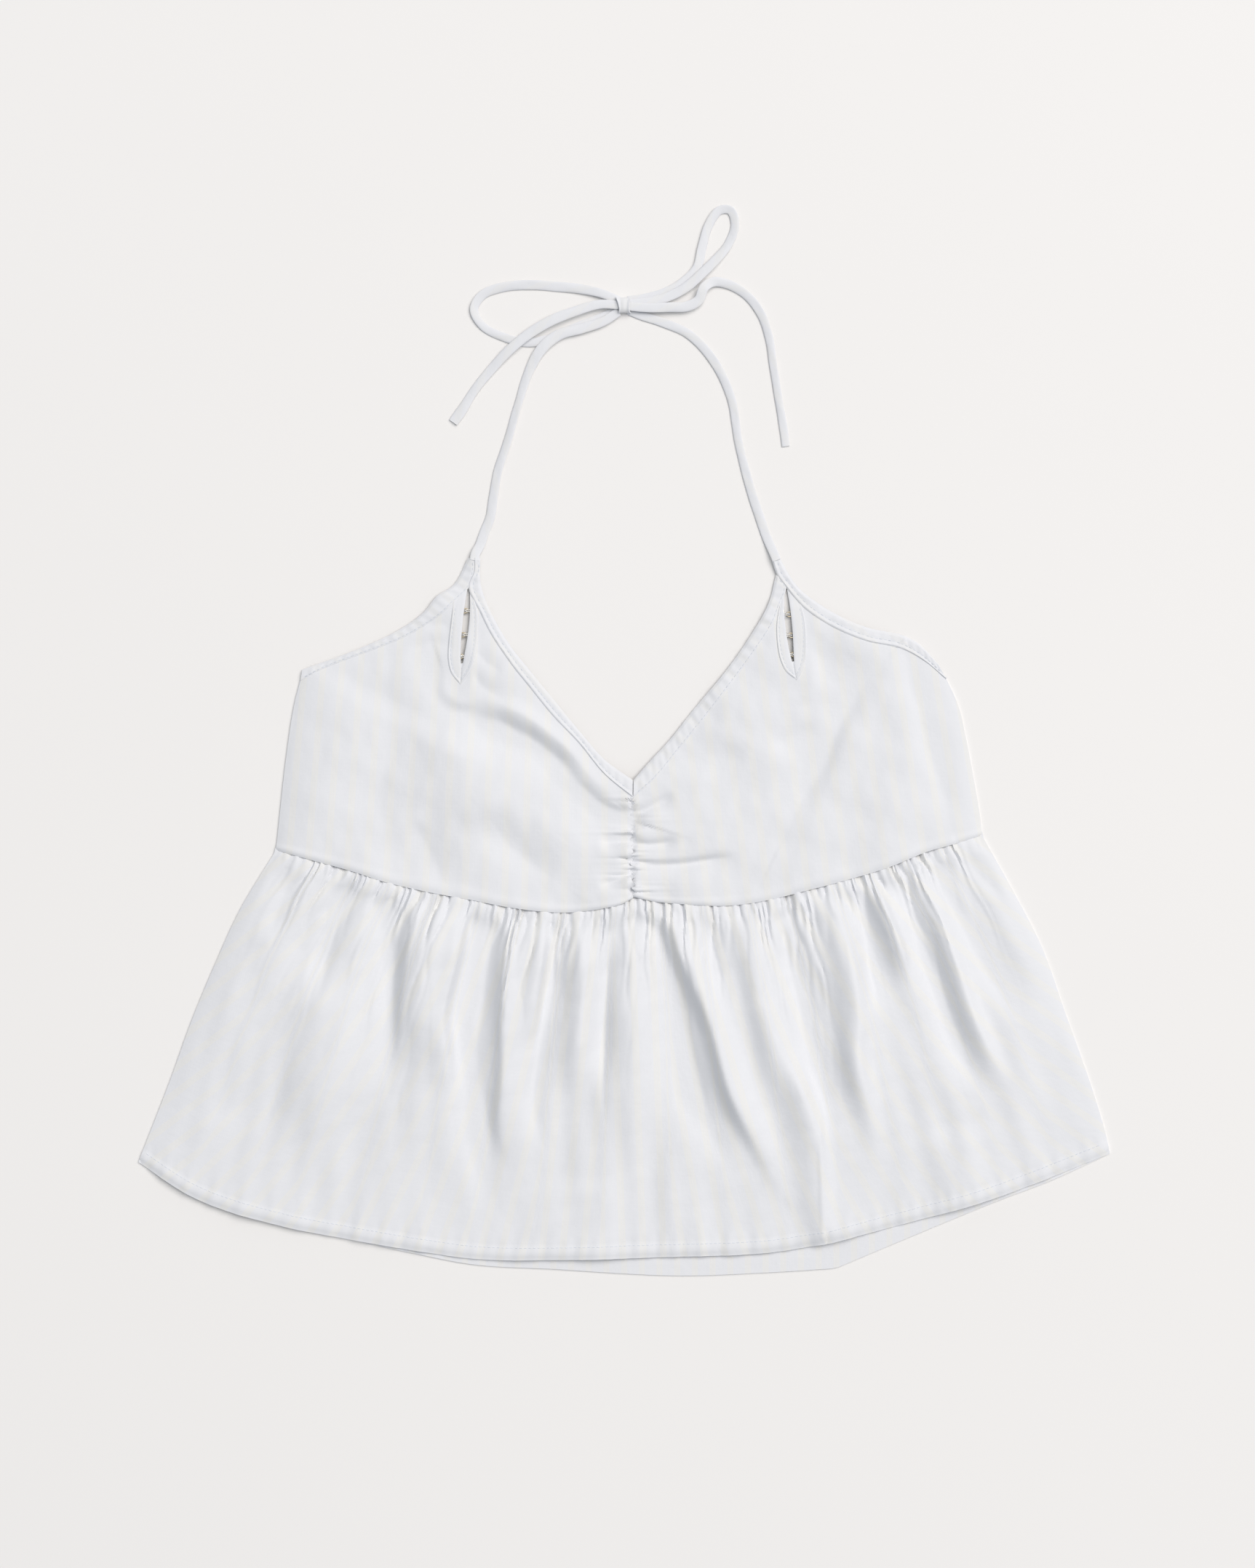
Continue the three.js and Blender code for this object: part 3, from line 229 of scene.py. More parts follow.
PEPLUM_FOLDS = [
  Fold("A side valley", height=-2.5, left=5, right=6, ends=(0.6, 0),
    line=[(-189, 22), (-196, 2), (-203, -20)]),
  Fold("B valley", height=-4.0, left=9, right=5, ends=(0.7, 0),
    line=[(-154, 20), (-159, 2), (-168, -21), (-174, -58)]),
  Fold("B ridge", height=3.2, left=16, right=20, ends=(0.1, 0.2),
    line=[(-170, -20), (-174, -78), (-174, -140)]),
  Fold("C valley", height=-5.0, left=7, right=7, ends=(0.7, 0),
    line=[(-135, 14), (-136, -12), (-132, -45), (-131, -77), (-140, -112)]),
  Fold("C ridge", height=3.6, left=6, right=16, ends=(0.5, 0.1),
    line=[(-118, 9), (-122, -26), (-126, -61), (-127, -100)]),
  Fold("D ridge", height=4.6, left=16, right=3, ends=(0.6, 0.1),
    line=[(-90, 4), (-96, -29), (-103, -61), (-101, -77), (-99, -110)]),
  Fold("D valley", height=-6.0, left=5, right=7, ends=(0.5, 0.1),
    line=[(-86, -8), (-90, -45), (-94, -66), (-88, -101), (-85, -124), (-79, -156),
      (-70, -174)]),
  Fold("E valley", height=-3.2, left=5, right=4, ends=(0.5, 0.6),
    line=[(-73, -2), (-78, -29), (-82, -61), (-86, -85)]),
  Fold("E ridge", height=4.4, left=5, right=9, ends=(0.5, 0),
    line=[(-64, -2), (-67, -45), (-68, -93), (-70, -124), (-62, -150)]),
  Fold("F ridge", height=3.6, left=8, right=3, ends=(0.6, 0),
    line=[(-44, -2), (-49, -45), (-54, -82)]),
  Fold("F valley", height=-5.0, left=4, right=8, ends=(0.4, 0),
    line=[(-38, -10), (-43, -45), (-49, -85), (-52, -109), (-47, -129), (-36, -144)]),
  Fold("G ridge", height=3.6, left=8, right=7, ends=(0.5, 0),
    line=[(-26, -4), (-25, -64), (-34, -110)]),
  Fold("G valley", height=-4.2, left=4, right=4, ends=(0.4, 0),
    line=[(-8, -14), (-10, -45), (-12, -77), (-11, -106)]),
  Fold("middle panel", height=2.6, left=10, right=10, ends=(0.3, 0.2),
    line=[(2, -30), (6, -90), (6, -150)]),
  Fold("H valley", height=-6.4, left=8, right=5, ends=(0.5, 0),
    line=[(9, -4), (22, -17), (29, -45), (34, -77), (42, -109), (52, -134), (66, -156)]),
  Fold("J ridge", height=5.6, left=5, right=9, ends=(0.5, 0.1),
    line=[(25, 2), (31, -21), (42, -48), (49, -64), (55, -85), (61, -105), (77, -136),
      (90, -160)]),
  Fold("J line", height=-2.6, left=2.5, right=6, ends=(0.6, 0),
    line=[(49, 0), (50, -29), (49, -55)]),
  Fold("K ridge", height=4.4, left=12, right=6, ends=(0.5, 0.5),
    line=[(69, -5), (76, -37), (80, -58), (90, -85), (103, -109), (110, -140), (114, -180)]),
  Fold("L valley", height=-4.6, left=4, right=8, ends=(0.7, 0),
    line=[(88, 0), (95, -34), (104, -69), (111, -101), (122, -136)]),
  Fold("M ridge", height=4.4, left=10, right=6, ends=(0.5, 0),
    line=[(120, -2), (128, -29), (132, -61), (132, -85), (137, -109), (143, -141)]),
  Fold("N valley", height=-5.2, left=3.5, right=8, ends=(0.8, 0),
    line=[(134, 13), (138, -13), (141, -37), (146, -62)]),
  Fold("O ridge", height=4.6, left=8, right=3, ends=(0.6, 0),
    line=[(142, 19), (149, -2), (157, -21), (163, -44)]),
  Fold("P valley", height=-6.6, left=4, right=10, ends=(0.7, 0),
    line=[(155, 17), (165, -5), (172, -29), (179, -48), (186, -69), (196, -90),
      (210, -110)]),
  Fold("Q ridge", height=5.2, left=10, right=5, ends=(0.6, 0),
    line=[(166, 19), (177, -2), (187, -29), (198, -61), (209, -85), (222, -106)]),
  Fold("S valley", height=-5.0, left=4, right=11, ends=(0.7, 0),
    line=[(180, 23), (190, -2), (200, -21), (213, -45), (228, -68)]),
  Fold("U valley", height=-2.6, left=3, right=7, ends=(0.6, 0),
    line=[(194, 32), (205, 18), (219, 4)]),
  Fold("left hem wave", height=1.0, left=26, right=26, ends=(0, 1),
    line=[(-228, -110), (-232, -168)]),
  Fold("middle hem wave", height=1.3, left=24, right=20, ends=(0, 1),
    line=[(-20, -150), (-22, -200)]),
  Fold("right hem wave", height=1.6, left=20, right=20, ends=(0, 1),
    line=[(190, -120), (197, -168)]),
]

TAPES = {
  "tie_left_strap": {
    "banks": [(0, 0), (0.25, 12), (0.45, 20), (0.6, 12), (0.75, 0), (1, 0)],
    "widths": [(0, 5.2), (0.1, 5.6), (0.3, 5), (0.55, 4.6), (0.75, 6.4), (1, 5)],
    "route": [(-85.4, 199.2, 1.75), (-84.7, 203.2, 1.2), (-82.4, 207.6, 0.5), (-79.4, 216, 0),
      (-76.4, 224, 0), (-74.5, 236, 0), (-71.8, 251, 0), (-66.6, 267, 0), (-60.9, 286.8, 0),
      (-54.8, 306, 0), (-47, 320, 0.9), (-37, 328, 1.05), (-24, 331.5, 1.05),
      (-12, 335.5, 1.05), (-3.2, 341, 1.05)]},
  "tie_right_strap": {
    "banks": [(0, 0), (0.2, 8), (0.6, 10), (0.8, 6), (1, 0)],
    "widths": [(0, 5), (0.15, 5.4), (0.4, 4.6), (0.7, 5.2), (1, 5)],
    "route": [(86.9, 199.2, 1.75), (85.2, 203.4, 1.2), (81.8, 211.3, 0.2), (77.3, 224, 0),
      (72.1, 240, 0), (65.2, 267, 0), (61.8, 289, 0), (56, 304.5, 0), (47.5, 318, 0),
      (36.5, 328.6, 0), (21.5, 335.3, 0), (10, 339, 0), (2.4, 342, 0)]},
  "bow_loop_left": {
    "banks": [(0, 0), (0.3, 12), (0.48, 14), (0.62, -8), (0.8, -8), (1, 0)],
    "widths": [(0, 4.6), (0.15, 5.6), (0.4, 5.4), (0.55, 4.6), (0.8, 5.4), (1, 4.8)],
    "route": [(-3, 347.4, 1.05), (-13, 351.5, 1), (-24, 354, 0.4), (-37, 355.4, 0),
      (-54, 356.5, 0), (-70, 355, 0), (-81, 350.5, 0), (-85.6, 342.5, 0), (-80.5, 333, 0),
      (-68, 326.5, 0), (-55, 323.6, 0), (-43, 325.5, 0), (-29, 331.5, 0), (-14, 337.6, 0),
      (-3.4, 342.4, 0)]},
  "bow_loop_right": {
    "banks": [(0, 0), (0.25, -10), (0.45, -14), (0.6, -14), (0.8, -8), (1, 0)],
    "widths": [(0, 4.6), (0.2, 5.4), (0.45, 5), (0.6, 5), (0.8, 5.8), (1, 4.8)],
    "route": [(2.2, 347.8, 0), (12, 349.2, 0), (22, 351.8, 0), (33, 357.5, 0),
      (41.5, 366, 0), (44.5, 378, 0), (48.5, 391, 0), (54.5, 399, 0), (60.5, 399, 0),
      (63.2, 391, 0), (59.5, 380, 0), (53, 371.5, 0.7), (44.5, 363, 1.05), (36, 355.5, 1.05),
      (25, 349.5, 1.05), (13, 346.6, 1.05), (2.4, 345.6, 1.05)]},
  "bow_tail_left": {
    "banks": [(0, 0), (0.5, -6), (0.8, -12), (1, -8)],
    "widths": [(0, 4.8), (0.3, 6), (0.6, 5.6), (0.85, 5), (0.95, 6.2), (1, 5.6)],
    "route": [(-3.2, 344.6, 2.1), (-14, 345, 2.1), (-28, 341, 2.1), (-42, 335.5, 2.1),
      (-56, 327, 1.5), (-66, 318.6, 1.1), (-76, 308, 0.2), (-85, 297, 0), (-92, 286, 0),
      (-97.5, 278, 0)]},
  "bow_tail_right": {
    "banks": [(0, 0), (0.2, -5), (0.45, -12), (0.7, -12), (0.9, -8), (1, 0)],
    "widths": [(0, 4.8), (0.2, 5.8), (0.5, 5), (0.75, 4.4), (1, 4.6)],
    "route": [(2.4, 343.8, 2.1), (14, 343, 2.1), (26, 343.4, 1.9), (36, 344, 1.6),
      (42.5, 347.5, 1.6), (45.5, 354.5, 2.05), (51, 358, 1), (60, 356.5, 0.2), (70, 350.5, 0),
      (78, 340, 0), (82.5, 327, 0), (85, 311, 0), (88, 292, 0), (90.5, 277, 0),
      (92.3, 264.5, 0)]},
}

# Finer folds of the cloth's face
BODICE_CREASES = [
  Fold("left pull above the placket", height=-1.4, left=3, right=3, ends=(1, 0),
    line=[(-101, 162), (-106, 163), (-114, 161)]),
  Fold("left pull by the placket", height=-1.8, left=4, right=4, ends=(1, 0),
    line=[(-101, 152), (-110, 152), (-124, 148)]),
  Fold("pull from the placket to the neck", height=-1.7, left=3, right=4, ends=(1, 0),
    line=[(-83.5, 146), (-77, 140), (-68, 136)]),
  Fold("pull under the placket", height=-1.7, left=3, right=4, ends=(1, 0),
    line=[(-86, 134.5), (-82, 129), (-74, 123), (-64, 118)]),
]

PEPLUM_CREASES = [
  Fold("long press in the middle", height=-1.0, left=1.6, right=1.6, ends=(0, 0),
    line=[(-10, -62), (-12, -95), (-10, -128)]),
  Fold("long press on the right", height=0.9, left=1.6, right=1.6, ends=(0, 0.6),
    line=[(111, -100), (112, -140), (113, -186)]),
  Fold("small tuck", height=-1.1, left=2, right=3, ends=(0.4, 0),
    line=[(81, -33), (80, -46), (76, -60)]),
]


# Smooth lines

def through(points, steps=12):
    """Close places on the centripetal curve through points."""
    points = np.array(points, float)
    ends = [2 * points[0] - points[1], *points, 2 * points[-1] - points[-2]]
    places = []
    for before, start, stop, after in zip(ends, ends[1:], ends[2:], ends[3:]):
        d0, d1, d2 = (
            math.sqrt(np.linalg.norm(b - a))
            for a, b in ((before, start), (start, stop), (stop, after))
        )
        out = ((start - before) / d0 - (stop - before) / (d0 + d1) + (stop - start) / d1) * d1
        into = ((stop - start) / d1 - (after - start) / (d1 + d2) + (after - stop) / d2) * d1
        u = np.linspace(0, 1, steps, endpoint=False)[:, None]
        square = -3 * start + 3 * stop - 2 * out - into
        cube = 2 * start - 2 * stop + out + into
        places.append(start + out * u + square * u**2 + cube * u**3)
    return np.concatenate([*places, points[-1:]])


class Line:
    """A smooth line through points, in one stretch or in several that meet in corners."""

    def __init__(self, *stretches):
        parts = [through(stretch) for stretch in stretches]
        self.places = np.concatenate([parts[0], *(part[1:] for part in parts[1:])])
        steps = np.linalg.norm(np.diff(self.places, axis=0), axis=1)
        self.walked = np.concatenate([[0.0], np.cumsum(steps)])
        self.length = self.walked[-1]

    def at(self, share):
        """Places at shares of the line's length."""
        walked = np.clip(share, 0, 1) * self.length
        return np.stack([np.interp(walked, self.walked, axis) for axis in self.places.T], -1)

    def share_at_x(self, x):
        """The share of the length where the line reaches x."""
        return self.walked[np.argmin(np.abs(self.places[:, 0] - x))] / self.length


def smooth(low, high, value):
    """0 below low and 1 above high, with a soft step between them."""
    share = np.clip((value - low) / (high - low), 0, 1)
    return share * share * (3 - 2 * share)


def beside(away, reach):
    """1 on a line, and almost nothing at twice the reach from it."""
    return np.exp(-((away / reach) ** 2))


def rising(gap, reach):
    """0 at an edge, and almost 1 at three times the reach from it."""
    return 1 - np.exp(-gap / reach)


def flattened(value, power):
    """A sine or cosine drawn out towards the corners of a rounded rectangle."""
    return np.sign(value) * np.abs(value) ** power


def nearest(line, at):
    """How far places lie from a line, on which side, and at which share of its length."""
    line = np.array(line, float)
    steps = np.diff(line, axis=0)
    lengths = np.linalg.norm(steps, axis=1)
    walked = np.concatenate([[0.0], np.cumsum(lengths)])
    best, side, share = np.full(len(at), np.inf), np.ones(len(at)), np.zeros(len(at))
    for k, step in enumerate(steps):
        away = at - line[k]
        held = np.clip(away @ step / lengths[k] ** 2, 0, 1)
        gap = away - held[:, None] * step
        distance = np.hypot(gap[:, 0], gap[:, 1])
        closer = distance < best
        best[closer] = distance[closer]
        side[closer] = np.sign(step[0] * gap[:, 1] - step[1] * gap[:, 0])[closer]
        share[closer] = (walked[k] + held * lengths[k])[closer]
    return best, side, share / walked[-1]


def fold_height(fold, at):
    """A fold's height at places. Left and right are the picture's, on a line that runs down."""
    reach_most = 3 * max(fold.left, fold.right)
    line = through(fold.line, 5)
    low, high = line.min(0) - reach_most, line.max(0) + reach_most
    inside = np.all((at > low) & (at < high), axis=1)
    height = np.zeros(len(at))
    if not inside.any():
        return height
    distance, side, share = nearest(line, at[inside])
    reach = np.where(side > 0, fold.right, fold.left)
    top, roundness = fold.height, RIDGE_ROUNDNESS
    if fold.height <= 0:
        reach = reach * VALLEY_REACH
        top, roundness = fold.height * VALLEY_DEPTH, VALLEY_ROUNDNESS
    first = fold.ends[0] + (1 - fold.ends[0]) * smooth(0, 0.3, share)
    last = fold.ends[1] + (1 - fold.ends[1]) * smooth(0, 0.4, 1 - share)
    height[inside] = top * first * last * np.exp(-((distance / reach) ** roundness))
    return height


def sum_of_folds(folds, at):
    return sum(fold_height(fold, at) for fold in folds)


def soft_waves(at, wavelength, seed, count=9):
    """Uneven waves of about one wavelength, from -1 to 1, the same on each run."""
    random = np.random.default_rng(seed)
    total = np.zeros(len(at))
    for _ in range(count):
        angle, phase = random.uniform(0, 2 * math.pi, 2)
        length = wavelength * random.uniform(0.7, 1.5)
        total += np.sin(
            2 * math.pi * (at[:, 0] * math.cos(angle) + at[:, 1] * math.sin(angle)) / length
            + phase
        )
    return total / math.sqrt(count) / 1.6


def settle(height):
    """Cloth sinks no lower than what it lies on, and reaches it in a soft curve."""
    softness = 1.2
    return 0.5 * (height + np.sqrt(height * height + softness * softness))


# Heights of the two front panels' undersides, near those of the solids, with finer folds

PUCKER_RISE = 3.8
PUCKER_REACH = 6.5
SMALL_PUCKER = 0.6
SEAM_PIT = 2.2
NECK_PULLS = 17
PEPLUM_LIFT = BODICE_LIFT - 0.9
PEPLUM_SINK = 1.6
PEPLUM_SWELL = 2.6

def centre_of(half):
    return np.array(half["centre"], float)


def ruche(half, at):
    """Puckers that run out from the gathered centre seam."""
    centre = centre_of(half)
    share = (centre[0, 1] - at[:, 1]) / (centre[0, 1] - centre[-1, 1])
    away = np.abs(at[:, 0] - centre[1, 0])
    turn = PUCKERS * share + 0.5 * np.sin(17 * share + half["phase"]) + half["phase"] / 3
    nth = np.floor(turn)
    reach = PUCKER_REACH + 4.5 * np.sin(nth * 2.1 + half["phase"])
    own = 0.6 + 0.4 * np.sin(nth * 3.3 + half["phase"])
    rise = PUCKER_RISE * own * np.abs(np.sin(math.pi * turn)) ** 0.7 * np.exp(-away / reach)
    small = SMALL_PUCKER * np.abs(np.sin(math.pi * 1.9 * turn)) * np.exp(-away / 2.2)
    inside = smooth(-0.02, 0.03, share) * smooth(-0.02, 0.03, 1 - share)
    return (rise + small - SEAM_PIT * beside(away, 1.3)) * inside


def bodice_rest(at):
    """The front bodice rests on the back, and above the back's top on the surface itself."""
    fade = 16
    x, y = np.array(BACK_TOP, float).T
    return FRONT_REST * (1 - smooth(0, fade, at[:, 1] - np.interp(at[:, 0], x, y)))


def keyhole_line(half):
    """The part of the slit that the placket runs round."""
    return half["slitLine"][:4]


def bodice_height(half, at, fine=True):
    side_gap, _, _ = nearest(half["side"], at)
    neck_gap = np.minimum(
        nearest(half["armholeEdge"], at)[0], nearest(half["neckEdge"], at)[0]
    )
    slit_gap, _, _ = nearest(keyhole_line(half), at)
    away_from_placket = smooth(8, 16, slit_gap)
    folds = BODICE_FOLD_DEPTH * sum_of_folds(BODICE_FOLDS, at) * away_from_placket
    relief = folds + ruche(half, at)
    if fine:
        relief = relief + sum_of_folds(BODICE_CREASES, at) * smooth(5, 10, slit_gap)
        relief = relief + 1.0 * soft_waves(at, 38, 3) + 0.2 * soft_waves(at, 12, 4)
        along_neck = nearest(half["neckEdge"], at)[2]
        pull = np.sin(along_neck * 2 * math.pi * NECK_PULLS + half["phase"])
        relief = relief + 0.22 * pull * np.exp(-neck_gap / 9)
    by_neck = 0.35 + 0.65 * rising(neck_gap, NECK_ROLL)
    by_side = rising(side_gap, SIDE_ROLL)
    by_placket = 1 - 0.55 * beside(slit_gap, 14)
    return bodice_rest(at) + by_side * settle(BODICE_LIFT * by_neck * by_placket + relief)


Gathers = namedtuple("Gathers", "count wander start depth reach cusp")

# Large and small gathers under the waist, and fine teeth at the thread
WAIST_GATHERS = (
    Gathers(count=GATHERS * 0.8, wander=1.4, start=0, depth=2.5, reach=24, cusp=0.8),
    Gathers(count=GATHERS * 1.9, wander=2.2, start=0.3, depth=1.4, reach=8, cusp=0.8),
    Gathers(count=118, wander=0.8, start=0, depth=0.8, reach=3.5, cusp=0.9),
)


def pleated(turn, down, size):
    """Humps side by side with a sharp valley between two, each dying away at its own reach."""
    nth = np.floor(turn)
    own = 0.5 + 0.5 * np.sin(nth * 2.4 + 0.7) * np.cos(nth * 1.3)
    hump = np.abs(np.sin(math.pi * turn)) ** (size.cusp + 1.3 * smooth(1, size.reach, down))
    fading = np.exp(-down / (size.reach * (0.35 + 1.3 * own)))
    swelling = 0.5 * smooth(0, size.reach * 0.4, down)
    return size.depth * (0.6 + 0.7 * own) * (hump - 1 + swelling) * fading


def gathers(s, down):
    """Gathers from the waist seam, of uneven width and reach."""
    wandering = 0.55 * np.sin(s * 37) + 0.4 * np.sin(s * 91 + 1) + 0.25 * np.sin(s * 203)
    wandering = wandering + 0.16 * np.sin(down / 7 + s * 90) * smooth(0, 12, down)
    return sum(
        pleated(s * size.count + size.wander * wandering + size.start, down, size)
        for size in WAIST_GATHERS
    )


@cache
def waist_levels():
    """Heights of the bodice's face along the waist seam, by the share of its length."""
    share = np.linspace(0, 1, 1200)
    at = PEPLUM_EDGES["top"].at(share)
    left, right = (bodice_height(half, at) + top_lift(half, at) for half in HALVES.values())
    return share, np.where(at[:, 0] < HALVES["left"]["centre"][-1][0], left, right)


def peplum_height(s, down, at):
    by_side = rising(np.minimum(s, 1 - s) * PEPLUM_ACROSS, SIDE_ROLL)
    swell = PEPLUM_SWELL * smooth(4, 34, down) * (1 - smooth(60, 170, down))
    lift = PEPLUM_LIFT - PEPLUM_SINK * smooth(60, 190, down) + swell
    from_seam = smooth(0, 16, down)
    relief = FOLD_DEPTH * sum_of_folds(PEPLUM_FOLDS, at) * from_seam
    relief = relief + sum_of_folds(PEPLUM_CREASES, at)
    hanging = np.stack([s * PEPLUM_ACROSS, down * 0.35], -1)
    relief = relief + 1.4 * soft_waves(hanging, 40, 7) + 0.7 * soft_waves(hanging, 17, 8)
    relief = relief + 0.18 * soft_waves(at, 11, 9)
    own = FRONT_REST + by_side * settle(lift + relief + gathers(s, down))
    at_seam = np.interp(s, *waist_levels()) - UNDER_THE_EDGE + by_side * gathers(s, down)
    held = beside(down, 9)
    return np.maximum(own * (1 - held) + at_seam * held, FRONT_REST)


def patch(edges, s, t):
    """A Coons patch: the plan of a panel between its top, bottom, left and right edges."""
    s, t = s[:, None], t[:, None]
    top, bottom = edges["top"].at(s[:, 0]), edges["bottom"].at(s[:, 0])
    left, right = edges["left"].at(t[:, 0]), edges["right"].at(t[:, 0])
    ends = {key: edges[key].at(np.array([0.0, 1.0])) for key in ("top", "bottom")}
    west = (1 - t) * ends["top"][0] + t * ends["bottom"][0]
    east = (1 - t) * ends["top"][1] + t * ends["bottom"][1]
    return (
        (1 - t) * top + t * bottom + (1 - s) * (left - west) + s * (right - east)
    )[:, :2]


# Making and finishing a piece

def alone(obj):
    """Only this object is selected and active."""
    bpy.ops.object.select_all(action="DESELECT")
    obj.select_set(True)
    bpy.context.view_layer.objects.active = obj
    return obj


def added(name):
    """The object that an operator has just added, under its own name."""
    obj = bpy.context.active_object
    obj.name = obj.data.name = name
    return alone(obj)


def linked(name, data):
    """A new object in the scene that shows a mesh or a curve."""
    obj = bpy.data.objects.new(name, data)
    bpy.context.scene.collection.objects.link(obj)
    return alone(obj)


def mesh_object(name, places, faces):
    """A new object from corners in millimetres and the faces between them."""
    mesh = bpy.data.meshes.new(name)
    mesh.from_pydata(at_row(places).tolist(), [], faces)
    return linked(name, mesh)


@contextmanager
def edited(obj, select="SELECT"):
    """The object's mesh in edit mode, with all of it selected or none of it."""
    alone(obj)
    bpy.ops.object.mode_set(mode="EDIT")
    bpy.ops.mesh.select_all(action=select)
    yield
    bpy.ops.object.mode_set(mode="OBJECT")


def at_row(places):
    """Millimetres from the hem's middle become metres in the garment's frame."""
    moved = np.array(places, float)
    moved[:, 1] -= MIDDLE_Y
    return moved * MM


def move_vertices(mesh, places):
    mesh.vertices.foreach_set("co", at_row(places).astype(np.float32).ravel())
    mesh.update()


def lay_cut(mesh, cut):
    """The piece's UV map is its place in the cut cloth, in metres."""
    layer = mesh.uv_layers.active or mesh.uv_layers.new(name="UVMap")
    corner = np.zeros(len(mesh.loops), int)
    mesh.loops.foreach_get("vertex_index", corner)
    layer.data.foreach_set("uv", cut[corner].astype(np.float32).ravel())


def finish_piece(obj, nodes, material):
    alone(obj)
    bpy.ops.object.shade_smooth_by_angle(angle=math.radians(50))
    obj.data.materials.clear()
    obj.data.materials.append(material)
    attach(obj, "root")
    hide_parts(*nodes)
    return obj


def cloth_grid(name, columns, rows, shape, keep=None):
    """A grid moved into shape. shape(s, t) gives places, cut places and wall thickness."""
    bpy.ops.object.select_all(action="DESELECT")
    bpy.ops.mesh.primitive_grid_add(x_subdivisions=columns, y_subdivisions=rows, size=1)
    obj = added(name)
    mesh = obj.data
    if keep is not None:
        cut_out(obj, keep)
    plan = np.zeros(len(mesh.vertices) * 3)
    mesh.vertices.foreach_get("co", plan)
    plan = plan.reshape(-1, 3)
    places, cut, wall = shape(plan[:, 0] + 0.5, 0.5 - plan[:, 1])
    move_vertices(mesh, places)
    lay_cut(mesh, cut)
    thickest = float(wall.max())
    shares = np.round(wall / thickest, 2)
    group = obj.vertex_groups.new(name="wall")
    for share in np.unique(shares):
        group.add(np.nonzero(shares == share)[0].tolist(), float(share), "REPLACE")
    shell = obj.modifiers.new("Wall", "SOLIDIFY")
    shell.thickness = thickest * MM
    shell.offset = -1
    shell.vertex_group = "wall"
    alone(obj)
    bpy.ops.object.modifier_apply(modifier=shell.name)
    obj.vertex_groups.clear()
    return obj


def cut_out(obj, keep):
    """Deletes the faces of the flat grid that keep(s, t) turns down."""
    with edited(obj, "DESELECT"):
        bpy.ops.mesh.select_mode(type="FACE")
    for face in obj.data.polygons:
        face.select = not keep(face.center.x + 0.5, 0.5 - face.center.y)
    bpy.ops.object.mode_set(mode="EDIT")
    bpy.ops.mesh.delete(type="FACE")
    bpy.ops.object.mode_set(mode="OBJECT")


# Front bodice halves

OUTER_COLUMNS = 78
INNER_COLUMNS = 84
BODICE_COLUMNS = OUTER_COLUMNS + 1 + INNER_COLUMNS
BODICE_ROWS = 112
TOP_LIFT = 0.9
SHELL = 0.5

# One stripe's place and the pitch on each half, at a height above the hem's middle
STRIPES_MEASURED_AT = 25
LEFT_STRIPE_X = -11.2
LEFT_PITCH = 11.26
LEFT_TAPER = 0.00043
RIGHT_STRIPE_X = 22.4
RIGHT_PITCH = 11.5
RIGHT_LEAN = 0.115

SEAM_X = 5
WAVER = 1.0
WAVER_PITCH = 4.6


def bodice_plan(half, mirrored):
    waist = Line(half["waist"])
    foot = waist.share_at_x(half["slitLine"][-1][0])
    slit = Line([*half["slitLine"][:-1], tuple(waist.at(np.array([foot]))[0])])
    far, near = (1.0, 0.0) if mirrored else (0.0, 1.0)
    outer_waist = waist.at(np.linspace(far, foot, 60))
    inner_waist = waist.at(np.linspace(foot, near, 60))
    outer = {
        "top": Line(half["armholeLine"]), "bottom": Line(outer_waist),
        "left": Line([half["armholeLine"][0], *half["side"][1:]]), "right": slit,
    }
    inner = {
        "top": Line(half["neckLine"]), "bottom": Line(inner_waist),
        "left": slit, "right": Line(half["centre"]),
    }
    return outer, inner


def slit_half_width(t):
    share = np.clip(t / SLIT_SHARE, 0, 1)
    wide = np.sin(math.pi * (0.1 + 0.8 * share)) * SLIT_WIDTH
    return 0.5 * np.where(share < 1, np.maximum(wide, SLIT_JOIN * 0.6), SLIT_JOIN * 0.5)


def bodice_cut(side, at):
    """Where a place on the bodice lies in the cloth, so that the stripes lean as cut."""
    x, above_waist = at[:, 0], at[:, 1] - STRIPES_MEASURED_AT
    if side == "left":
        stripes = (x / (1 - LEFT_TAPER * above_waist) - LEFT_STRIPE_X) / LEFT_PITCH
    else:
        lean = RIGHT_LEAN + 0.05 * smooth(100, 190, x)
        stripes = (x + lean * above_waist - RIGHT_STRIPE_X) / RIGHT_PITCH
    return np.stack([stripes * sizes().stripe_pitch, above_waist * MM], -1)


def seam_waver(at, towards):
    """Moves the halves' edges onto one line that wavers between the puckers."""
    from_seam = np.abs(at[:, 0] - SEAM_X)
    beyond = 0.45 * towards
    waver = WAVER * np.sin(at[:, 1] * 2 * math.pi / WAVER_PITCH) * smooth(4, 10, at[:, 1])
    return (beyond + waver * (1 - smooth(60, 66, at[:, 1]))) * np.exp(-from_seam / 2.5)


